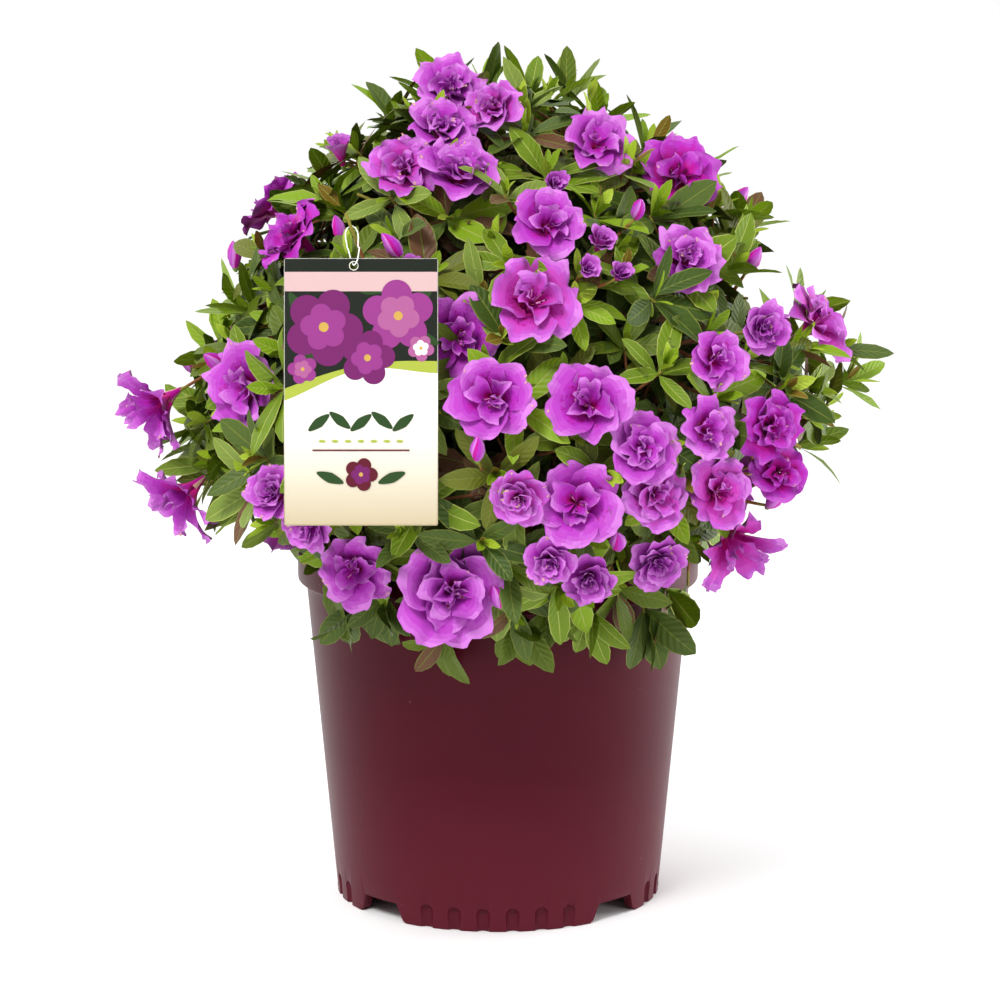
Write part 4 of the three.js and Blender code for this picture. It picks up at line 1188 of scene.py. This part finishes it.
# their finish, the levels on the petal between which they lie, their number and their size
THROAT_SPECKS = ("petal_speck", (0.2, 0.66), 34, 0.0006)
FADED_SPECKS = ("petal_tan", (0.93, 0.99), 2, 0.0013)
MOODS = (("dark", 0.14), ("rosy", 0.36), ("plain", 1))
PETAL_FINE, BUD_PLEAT = 40, 0.16
PETAL_STEPS = (0, 0.35, 0.65, 0.85, 1)
PETAL_BREADTH = (0.24, 0.76, 0.98, 1, 0.86)
petal_slots = {name: n for n, name in enumerate(PETALS)}
petal_piles = {
    side: {"places": [], "faces": [], "slots": []} for side in ("flowers_front", "flowers_back")
}


def petal_points(roll, shape):
    """The grid of one petal in its flower's own axes, with z out of the flower's face.

    The petal leaves the tube at a slant of opens[0] degrees from the flower's axis and leans
    over to opens[1] degrees at its tip.
    """
    rows, columns = shape["grid"]
    length, wide, ruffle = shape["length"], shape["wide"], shape["ruffle"]
    v = np.linspace(0, 1, rows)[:, None]
    u = np.linspace(-1, 1, columns)[None, :]
    phase, second, third = (next(roll) * math.tau for _ in range(3))
    waves = 4.2 + 2.8 * next(roll)
    # the line that the petal's middle follows, in fine steps
    fine = np.linspace(0, 1, PETAL_FINE + 1)
    slant_low, slant_high = shape["opens"]
    eased = (fine**2 * (3 - 2 * fine)) ** 0.7
    slants = np.radians(slant_low + (slant_high - slant_low) * eased)
    slants = slants + 0.16 * np.sin(fine * 8 + third) * fine
    middles = (slants[1:] + slants[:-1]) / 2
    out_line, up_line = (
        start + np.concatenate([[0], np.cumsum(way(middles))]) * length / PETAL_FINE
        for start, way in zip(shape["base"], (np.sin, np.cos))
    )
    # a blunt tip with round corners, a small notch and a finely frilled rim
    along = v * (1 - 0.15 * u**4 * v**2) - 0.04 * np.exp(-((u / 0.2) ** 2)) * v**5
    along = along - 0.014 * (1 + np.sin(u * 13 + phase)) * v**8
    out, up, slant = (np.interp(along, fine, line) for line in (out_line, up_line, slants))
    margin = u * (1 + 1.3 * (1 - v))
    edge = np.maximum(np.abs(u) ** 3, v**4) * v
    half = wide / 2 * np.interp(v, PETAL_STEPS, PETAL_BREADTH)
    half = half * (1 + 0.05 * np.sin(margin * 4.3 + second) * edge)
    out = out * (1 + 0.035 * np.sin(margin * 6.1 + third) * edge)
    bow = np.clip(half * u / np.maximum(out, wide * 0.34), -1.25, 1.25)
    # waves along the rim, finer ones, a slow roll, the fold up and the overlap with its neighbours
    lift = ruffle * edge * np.sin(margin * waves + phase)
    lift = lift + ruffle * 0.45 * edge * np.sin(margin * waves * 2.1 + second)
    lift = lift + ruffle * 0.8 * np.sin(u * 2.4 + phase) * v**1.5
    lift = lift + wide * shape["fold"] * u**2 * (1 - 0.4 * v)
    lift = lift + wide * shape["overlap"] * u * v
    radius = out - np.cos(slant) * lift
    turn = shape["turn"] + bow
    points = [radius * np.cos(turn), radius * np.sin(turn), up + np.sin(slant) * lift]
    return np.stack(points, axis=2).reshape(-1, 3)


def shade_by_height(roll, shades):
    """The finish for a petal's face, from deep at its base to pale at its frilled edge."""
    shift = swing(roll) * 0.18

    def slot(v, u):
        level = v + shift + 0.035 * math.sin(u * 12 + shift * 40) + 0.05 * math.sin(u * 5 + v * 4)
        return petal_slots["petal_" + shades[sum(level > step for step in SHADE_LEVELS)]]

    return slot


def add_places(pile, points, frame_of):
    """Points in a flower's own axes, put where the flower is."""
    pile["places"].extend(map(tuple, np.array(points) @ frame_of[0].T + frame_of[1]))


def add_sheet(pile, points, grid, slot, frame_of):
    first = len(pile["places"])
    rows, columns = grid
    add_places(pile, points, frame_of)
    for r in range(rows - 1):
        for c in range(columns - 1):
            a = first + r * columns + c
            pile["faces"].append((a, a + 1, a + columns + 1, a + columns))
            pile["slots"].append(slot(r / (rows - 2), c / (columns - 2)))


def add_specks(pile, roll, points, grid, frame_of, slot, levels, count, size):
    """Small marks that lie just above a petal, between two levels of it."""
    rows, columns = grid
    net = points.reshape(rows, columns, 3)
    for _ in range(count):
        r = int((levels[0] + (levels[1] - levels[0]) * next(roll)) * (rows - 1))
        c = int((0.5 + swing(roll) * 0.7) * (columns - 1))
        a, b, d = net[r, c], net[r, c + 1], net[r + 1, c]
        s, t = next(roll), next(roll)
        middle = a + (b - a) * s + (d - a) * t
        normal = unit(np.cross(b - a, d - a))
        if normal[2] < 0:
            normal = -normal
        wide, tall = unit(b - a) * size * 0.5, unit(d - a) * size * (0.5 + 0.5 * next(roll))
        first = len(pile["places"])
        middle = middle + normal * SPECK_LIFT
        corners = [
            middle - wide - tall, middle + wide - tall, middle + wide + tall, middle - wide + tall,
        ]
        add_places(pile, corners, frame_of)
        pile["faces"].append((first, first + 1, first + 2, first + 3))
        pile["slots"].append(petal_slots[slot])


def add_tube(pile, points, radii, slots, sides, frame_of, twist=0):
    """Rings of points along a flower's axis, with the finishes dealt out round them."""
    first = len(pile["places"])
    for number, (point, radius) in enumerate(zip(points, radii)):
        for n in range(sides):
            a = math.tau * n / sides + twist * number
            spread = radius * (1 + (BUD_PLEAT if twist else 0) * (n % 2))
            ring = np.array([spread * math.cos(a), spread * math.sin(a), 0])
            pile["places"].append(tuple(frame_of[0] @ (point + ring) + frame_of[1]))
    for _, n, face in ring_faces(first, len(points), sides):
        pile["faces"].append(face)
        pile["slots"].append(petal_slots[slots[n % len(slots)]])


def flower_frame(facing, place, spin):
    turn = Vector((0, 0, 1)).rotation_difference(Vector(facing)) @ Quaternion((0, 0, 1), spin)
    return np.array(turn.to_matrix()), np.array(place)


STAMENS, STAMEN_THICK, BUD_TWIST = 4, 0.016, 0.2
# foot and mouth of the tube, in half widths
TUBE_LEVELS = {"spent": (-1.10, -0.58), "half_open": (-1.20, -0.90), "rosette": (-0.84, -0.56)}
RINGS = {
    # petals, length, width, (out, up) of the base, slants at base and tip, ruffle, fold, grid
    "simple": [
        (5, 1.20, 1.40, (0.13, -0.52), (22, 84), 0.105, 0.02, (13, 17)),
        (3, 0.84, 0.92, (0.12, -0.40), (12, 54), 0.120, 0.14, (11, 13)),
        (1, 0.60, 0.60, (0.06, -0.28), (6, 40), 0.100, 0.16, (8, 9)),
    ],
    "open": [
        (5, 1.18, 1.34, (0.12, -0.50), (18, 86), 0.100, 0.02, (13, 17)),
        (5, 0.90, 1.04, (0.10, -0.38), (10, 60), 0.110, 0.06, (11, 13)),
        (4, 0.60, 0.70, (0.05, -0.26), (4, 38), 0.100, 0.12, (8, 9)),
    ],
    "rosette": [
        (5, 1.28, 1.30, (0.12, -0.62), (14, 76), 0.060, 0.02, (11, 15)),
        (5, 1.06, 1.10, (0.10, -0.52), (10, 52), 0.060, 0.08, (9, 11)),
        (5, 0.84, 0.84, (0.08, -0.40), (6, 36), 0.050, 0.12, (9, 9)),
        (4, 0.62, 0.60, (0.04, -0.28), (2, 16), 0.040, 0.16, (7, 7)),
    ],
    "half_open": [
        (5, 1.70, 1.36, (0.14, -1.00), (8, 34), 0.060, 0.04, (9, 9)),
        (4, 1.50, 1.00, (0.08, -0.90), (4, 16), 0.060, 0.10, (7, 7)),
    ],
    "spent": [
        (5, 1.50, 0.92, (0.20, -0.66), (28, 72), 0.110, 0.08, (13, 13)),
        (3, 1.20, 0.56, (0.12, -0.58), (14, 52), 0.120, 0.14, (10, 9)),
    ],
}
for flower in flowers:
    roll, half, kind = flower["roll"], flower["width"] / 2, flower["kind"]
    pile = petal_piles["flowers_front" if flower["place"][1] < 0 else "flowers_back"]
    frame_of = flower_frame(flower["facing"], flower["place"], next(roll) * math.tau)
    mood = next(roll)
    shades = PETAL_SHADES[next(name for name, share in MOODS if mood < share)]
    if kind == "open" and (next(roll) < SIMPLE_SHARE or flower["single"]):
        kind = "simple"
    start = next(roll) * math.tau
    bending = swing(roll) * 20
    for ring, row in enumerate(RINGS.get(kind, [])):
        count, length, wide, base, opens, ruffle, fold, grid = row
        spare = 0.20 + 0.08 * ring
        for n in range(count):
            shape = {
                "grid": grid,
                "turn": start + math.tau * (n + 0.5 * ring) / count + swing(roll) * spare * 1.6,
                "length": half * length * (1 + swing(roll) * spare),
                "wide": half * wide * (1 + swing(roll) * spare),
                "base": (half * base[0], half * base[1]),
                "opens": (opens[0], opens[1] + bending + swing(roll) * 110 * spare),
                "ruffle": half * ruffle * (0.75 + 0.5 * next(roll)),
                "fold": fold * (0.4 + 1.2 * next(roll)),
                "overlap": 0.07 if ring != 1 else -0.07,
            }
            points = petal_points(roll, shape)
            add_sheet(pile, points, grid, shade_by_height(roll, shades), frame_of)
            if kind in ("open", "simple") and ring == 0 and n < 3:
                add_specks(pile, roll, points, grid, frame_of, *THROAT_SPECKS)
            if kind != "half_open" and next(roll) < FADED_SHARE:
                add_specks(pile, roll, points, grid, frame_of, *FADED_SPECKS)
    if kind in ("open", "simple"):
        for n in range(STAMENS):
            turn = next(roll) * math.tau
            lean = 0.14 + 0.14 * next(roll)
            tall = half * (0.30 + 0.18 * next(roll))
            out = np.array([math.cos(turn), math.sin(turn), 0]) * lean * half
            spine = [out * s + upward(tall * s - half * 0.3) for s in (0, 0.5, 1)]
            knob = [spine[2] + upward(half * h) for h in (0, 0.03, 0.06)]
            add_tube(pile, spine, [half * STAMEN_THICK] * 3, ["stamen"], 4, frame_of)
            add_tube(pile, knob, [half * r for r in (0.01, 0.035, 0.01)], ["anther"], 5, frame_of)
    if kind == "bud":
        levels = [upward(half * h) for h in (-1.0, -0.5, 0.1, 0.8, 1.4, 1.75)]
        swell = [half * r for r in (0.26, 0.52, 0.66, 0.56, 0.30, 0.03)]
        folds = ["petal_main", "petal_soft", "petal_edge", "petal_deep"]
        add_tube(pile, levels, swell, folds, 12, frame_of, BUD_TWIST)
        foot = -half
    else:
        spent = kind == "spent"
        foot, mouth = (half * level for level in TUBE_LEVELS.get(kind, (-0.84, -0.44)))
        tube = [upward(foot + (mouth - foot) * s) for s in (0, 0.5, 1)]
        streaks = ["petal_deep", "petal_deep", "petal_tan"] if spent else ["petal_deep"]
        bore = [half * r * (1.3 if spent else 1) for r in (0.05, 0.10, 0.17)]
        add_tube(pile, tube, bore, streaks, 9, frame_of)
    girth = 0.0011 if kind != "bud" else half * 0.22
    cup = [upward(foot + h) for h in (-0.0025, -0.0005, 0.0025)]
    add_tube(pile, cup, [girth * 0.5, girth * 1.5, girth * 1.3], ["calyx"], 6, frame_of)

petal_looks = grained_looks(PETALS, 0.55, 0.16, 700, 0.25, 0.0006, detail=3)
for look in petal_looks:
    shader = look.node_tree.nodes["Principled BSDF"]
    shader.inputs["Sheen Weight"].default_value = 0.05
    shader.inputs["Sheen Roughness"].default_value = 0.4
for name, pile in petal_piles.items():
    bloom = joined_piece(name, pile["places"], pile["faces"], pile["slots"], petal_looks)
    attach(bloom, "root")

# Plant tag
# A thin printed plastic card that leans back against the leaves. Its print is plain: round
# purple blossoms on dark green, a slanting lime stripe, and a cream field with a row of leaves.
CARD_CORNER, CARD_EDGE, CARD_EDGE_ANGLE = 0.0012, 0.00012, 30
HOLE_RADIUS, HOLE_INSET, HOLE_ACROSS = 0.0025, 0.0046, -0.0045
PRINT_STEP, PRINT_MARGIN, OVAL_SIDES = 0.000012, 0.0004, 20
BAND_TOP, BAND_FOOT_LINE = 0.0080, 0.0200
CREAM, CREAM_LOW = (238, 236, 229), (186, 172, 140)
PRINT_COLOURS = {
    "print_green": (13, 20, 9), "print_leaf": (34, 62, 22), "print_lime": (156, 168, 60),
    "print_plum": (104, 22, 90), "print_lilac": (136, 48, 122), "print_rose": (158, 84, 134),
    "print_gold": (186, 150, 70), "print_blush": (196, 164, 164), "print_maroon": (84, 8, 30),
    "print_white": (226, 214, 218),
}
PRINTED_LEAVES = [
    # across, up, length and turn
    (-0.038, 0.050, 0.026, 0.5), (0.037, 0.058, 0.024, -0.7), (0.004, 0.064, 0.022, 1.4),
    (0.036, 0.034, 0.026, -1.9), (-0.034, 0.020, 0.024, 2.2), (-0.006, 0.029, 0.022, 0.3),
    (0.014, 0.042, 0.024, -0.3),
]
PRINTED_BLOSSOMS = [
    # across, up, size, turn, and the outer and the inner petals
    (-0.023, 0.040, 0.047, 0.2, "plum", "lilac"), (0.023, 0.047, 0.043, 0.7, "lilac", "rose"),
    (0.004, 0.021, 0.033, 0.4, "plum", "lilac"), (-0.036, 0.014, 0.018, 0.9, "lilac", "rose"),
    (0.037, 0.027, 0.016, 0.1, "rose", "white"),
]


def stand_up(piece):
    """Turns what is drawn flat, face up, into the leaning card's own plane."""
    piece.data.transform(Matrix.Rotation(math.pi / 2 - TAG_LEAN, 4, "X"))
    piece.data.transform(Matrix.Translation(Vector(TAG_CENTRE)))


clear_selection()
bpy.ops.mesh.primitive_cube_add(size=1, location=(0, 0, 0))
card = bpy.context.active_object
card.name = "tag_card"
edit_mode()
bpy.ops.transform.resize(value=(TAG_WIDE, TAG_TALL, TAG_THICK))
bpy.ops.mesh.select_all(action="DESELECT")
edit_mode(False)
for edge in card.data.edges:
    a, b = (card.data.vertices[n].co for n in edge.vertices)
    edge.select = abs(a.z - b.z) > TAG_THICK / 2
edit_mode()
bpy.ops.mesh.bevel(offset=CARD_CORNER, segments=5)
edit_mode(False)
clear_selection()
bpy.ops.mesh.primitive_cylinder_add(
    vertices=32, radius=HOLE_RADIUS, depth=0.01,
    location=(HOLE_ACROSS, TAG_TALL / 2 - HOLE_INSET, 0),
)
punch = bpy.context.active_object
bpy.ops.object.transform_apply(location=True)
cut_away(card, punch)
ease_edges(card, CARD_EDGE, CARD_EDGE_ANGLE)
bpy.ops.object.shade_smooth_by_angle(angle=math.radians(CARD_EDGE_ANGLE))

print_places, print_faces, print_slots = [], [], []
print_names = list(PRINT_COLOURS)


def print_shape(outline, colour):
    """A printed patch on the card's face. Every patch lies a hair above the one before."""
    first = len(print_places)
    level = TAG_THICK / 2 + PRINT_STEP * (4 + len(print_faces))
    print_places.extend((x, y, level) for x, y in outline)
    print_faces.append(tuple(range(first, first + len(outline))))
    print_slots.append(print_names.index("print_" + colour))


def oval(x, y, wide, tall, turn, point=0.0):
    """The outline of an oval, which a point above 0 narrows towards its ends."""
    corners = []
    for n in range(OVAL_SIDES):
        a = math.tau * n / OVAL_SIDES
        narrow = 1 - point * abs(math.sin(a))
        across, along = wide / 2 * math.cos(a) * narrow, tall / 2 * math.sin(a)
        corners.append((
            x + across * math.cos(turn) - along * math.sin(turn),
            y + across * math.sin(turn) + along * math.cos(turn),
        ))
    return corners


def print_blossom(x, y, size, turn, *colours):
    """Two rings of five round petals and a gold heart."""
    for ring, (out, petal, colour) in enumerate(zip((0.30, 0.17), (0.22, 0.14), colours)):
        outline = []
        for n in range(60):
            off = math.tau / 5 * ((n % 12) / 12 - 0.5)
            reach = out * math.cos(off) + math.sqrt(petal**2 - (out * math.sin(off)) ** 2)
            a = turn + math.tau * (n / 60 + ring / 10)
            outline.append((x - reach * size * math.sin(a), y + reach * size * math.cos(a)))
        print_shape(outline, colour)
    print_shape(oval(x, y, size * 0.13, size * 0.13, 0), "gold")


def print_leaf(x, y, wide, tall, turn):
    print_shape(oval(x, y, wide, tall, turn, point=0.35), "leaf")


side, top = TAG_WIDE / 2 - PRINT_MARGIN, TAG_TALL / 2 - PRINT_MARGIN
band_top, band_foot = top - BAND_TOP, top - BAND_FOOT_LINE
edge_line = [
    (-side + 2 * side * s, 0.002 + 0.017 * s + 0.006 * math.sin(math.pi * s))
    for s in np.linspace(0, 1, 17)
]
print_shape([(-side, band_top)] + edge_line + [(side, band_top)], "green")
bite_radius = HOLE_RADIUS + PRINT_MARGIN
for way in (-1, 1):
    # the strip above, one half on each side of the punched hole
    bite = [
        (HOLE_ACROSS + way * bite_radius * math.sin(a),
         TAG_TALL / 2 - HOLE_INSET - bite_radius * math.cos(a))
        for a in np.linspace(0, math.pi, 13)
    ]
    strip = [(way * side, top), (way * side, band_top), (HOLE_ACROSS, band_top)]
    print_shape(strip + bite + [(HOLE_ACROSS, top)], "green")
for x, y, length, turn in PRINTED_LEAVES:
    print_leaf(x, y, length * 0.36, length, turn)
print_shape([(-side, band_top), (-side, band_foot), (side, band_foot), (side, band_top)], "blush")
lime_line = [(x, y - 0.0050 + 0.0024 * math.cos(x / side * math.pi)) for x, y in edge_line]
print_shape(edge_line[::-1] + lime_line, "lime")
for blossom in PRINTED_BLOSSOMS:
    print_blossom(*blossom)
# the cream field: a row of leaves, a row of dashes, a line, and a blossom between two leaves
for n in range(5):
    odd = n % 2
    print_leaf(-0.026 + 0.013 * n, -0.019 + 0.0015 * odd, 0.0062, 0.0165, 0.9 if odd else -0.9)
for n in range(7):
    print_shape(oval(-0.024 + 0.008 * n, -0.0305, 0.0018, 0.0044, 1.57, point=0.3), "lime")
print_shape([(-0.030, -0.0365), (0.030, -0.0365), (0.030, -0.0356), (-0.030, -0.0356)], "maroon")
print_blossom(0, -0.051, 0.020, 0.3, "maroon", "plum")
for way in (-1, 1):
    print_leaf(way * 0.019, -0.053, 0.0065, 0.018, way * -1.2)

print_looks = grained_looks(PRINT_COLOURS, 0.34, 0.4, 900, 0.06, 0.0002)
tag_print = joined_piece("tag_print", print_places, print_faces, print_slots, print_looks, False)
for piece in (card, tag_print):
    stand_up(piece)
    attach(piece, "root")
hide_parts("tag")

card_look, nodes, links, shader = plain_finish("tag_card", CREAM, 0.34, 0.4)
surface_grain(card_look, 900, 0.06, 0.0002)
where = add_node(nodes, "TexCoord")
split = add_node(nodes, "SeparateXYZ")
fade = add_node(nodes, "MapRange", {
    "From Min": float(TAG_CENTRE[2]) - 0.080, "From Max": float(TAG_CENTRE[2]) - 0.004,
})
cream = add_node(nodes, "Mix", {"A": srgb(*CREAM_LOW), "B": srgb(*CREAM)}, data_type="RGBA")
wire(
    links, (where, "Object", split, "Vector"), (split, "Z", fade, "Value"),
    (fade, "Result", cream, "Factor"), (cream, "Result", shader, "Base Color"),
)
dress(card, card_look)

# Tag strand
# One thin clear-white strand goes through the tag's hole and over a twig, and is knotted on top
# of it.
STRAND_RADIUS, KNOT_RADIUS = 0.0004, 0.0008
HOLD_FROM_END, STRAND_GAP, STRAND_BOW = 0.011, 0.0026, 0.0008
AT_HOLE = [
    # offsets from the hole's middle, in mm
    (-3.2, 3.0, 8), (-1.4, 2.4, 1.8), (-0.4, 1.2, 0), (0.4, -1.2, 0), (1.8, -2.4, 1.8),
    (3.3, -3.0, 8),
]

hole_in_card = Vector((HOLE_ACROSS, 0, TAG_TALL / 2 - HOLE_INSET + 0.0007))
hole = np.array(Matrix.Rotation(-TAG_LEAN, 3, "X") @ hole_in_card) + TAG_CENTRE
twig_along = unit(carrier[-1] - carrier[-2])
hold = carrier_end - twig_along * HOLD_FROM_END
over = unit(np.cross(twig_along, [1, 0, 0]))
over = over if over[2] > 0 else -over
beside = np.array([STRAND_GAP, 0, 0])
outside, bow = np.array([0, -0.0005, 0]), np.array([STRAND_BOW, 0, 0])
knot_place = hold + over * STRAND_GAP
strand_points = [
    knot_place - beside * 0.1,
    hold - beside,
    (hold + hole) / 2 - beside - bow + outside,
    *[hole + np.array(offset) / 1000 for offset in AT_HOLE],
    (hold + hole) / 2 + beside + bow - outside,
    hold + beside,
    knot_place + beside * 0.1,
]
strand = bar_along(strand_points, [STRAND_RADIUS] * len(strand_points), 6, 2)
knot_points = []
for n in range(13):
    a = math.tau * n / 12
    across, along = math.sin(a) + 2 * math.sin(2 * a), math.cos(a) - 2 * math.cos(2 * a)
    loop = np.array([across, along, -math.sin(3 * a)])
    knot_points.append(knot_place + loop * KNOT_RADIUS / 3)
knot = bar_along(knot_points, [STRAND_RADIUS] * 13, 4, 2)
strand = join_all(strand, knot)
strand.name = "tag_strand"
bpy.ops.object.transform_apply(location=True, rotation=True, scale=True)
bpy.ops.object.shade_smooth()
strand_look = plain_finish("tag_strand", (246, 246, 242), 0.3, 0.5)[0]
surface_grain(strand_look, 800, 0.1, 0.0002)
dress(strand, strand_look)
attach(strand, "root")
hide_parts("tag_string")

size = {"cad": cad_box, "visual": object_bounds()}
size = {name: [[float(number) for number in corner] for corner in box] for name, box in size.items()}
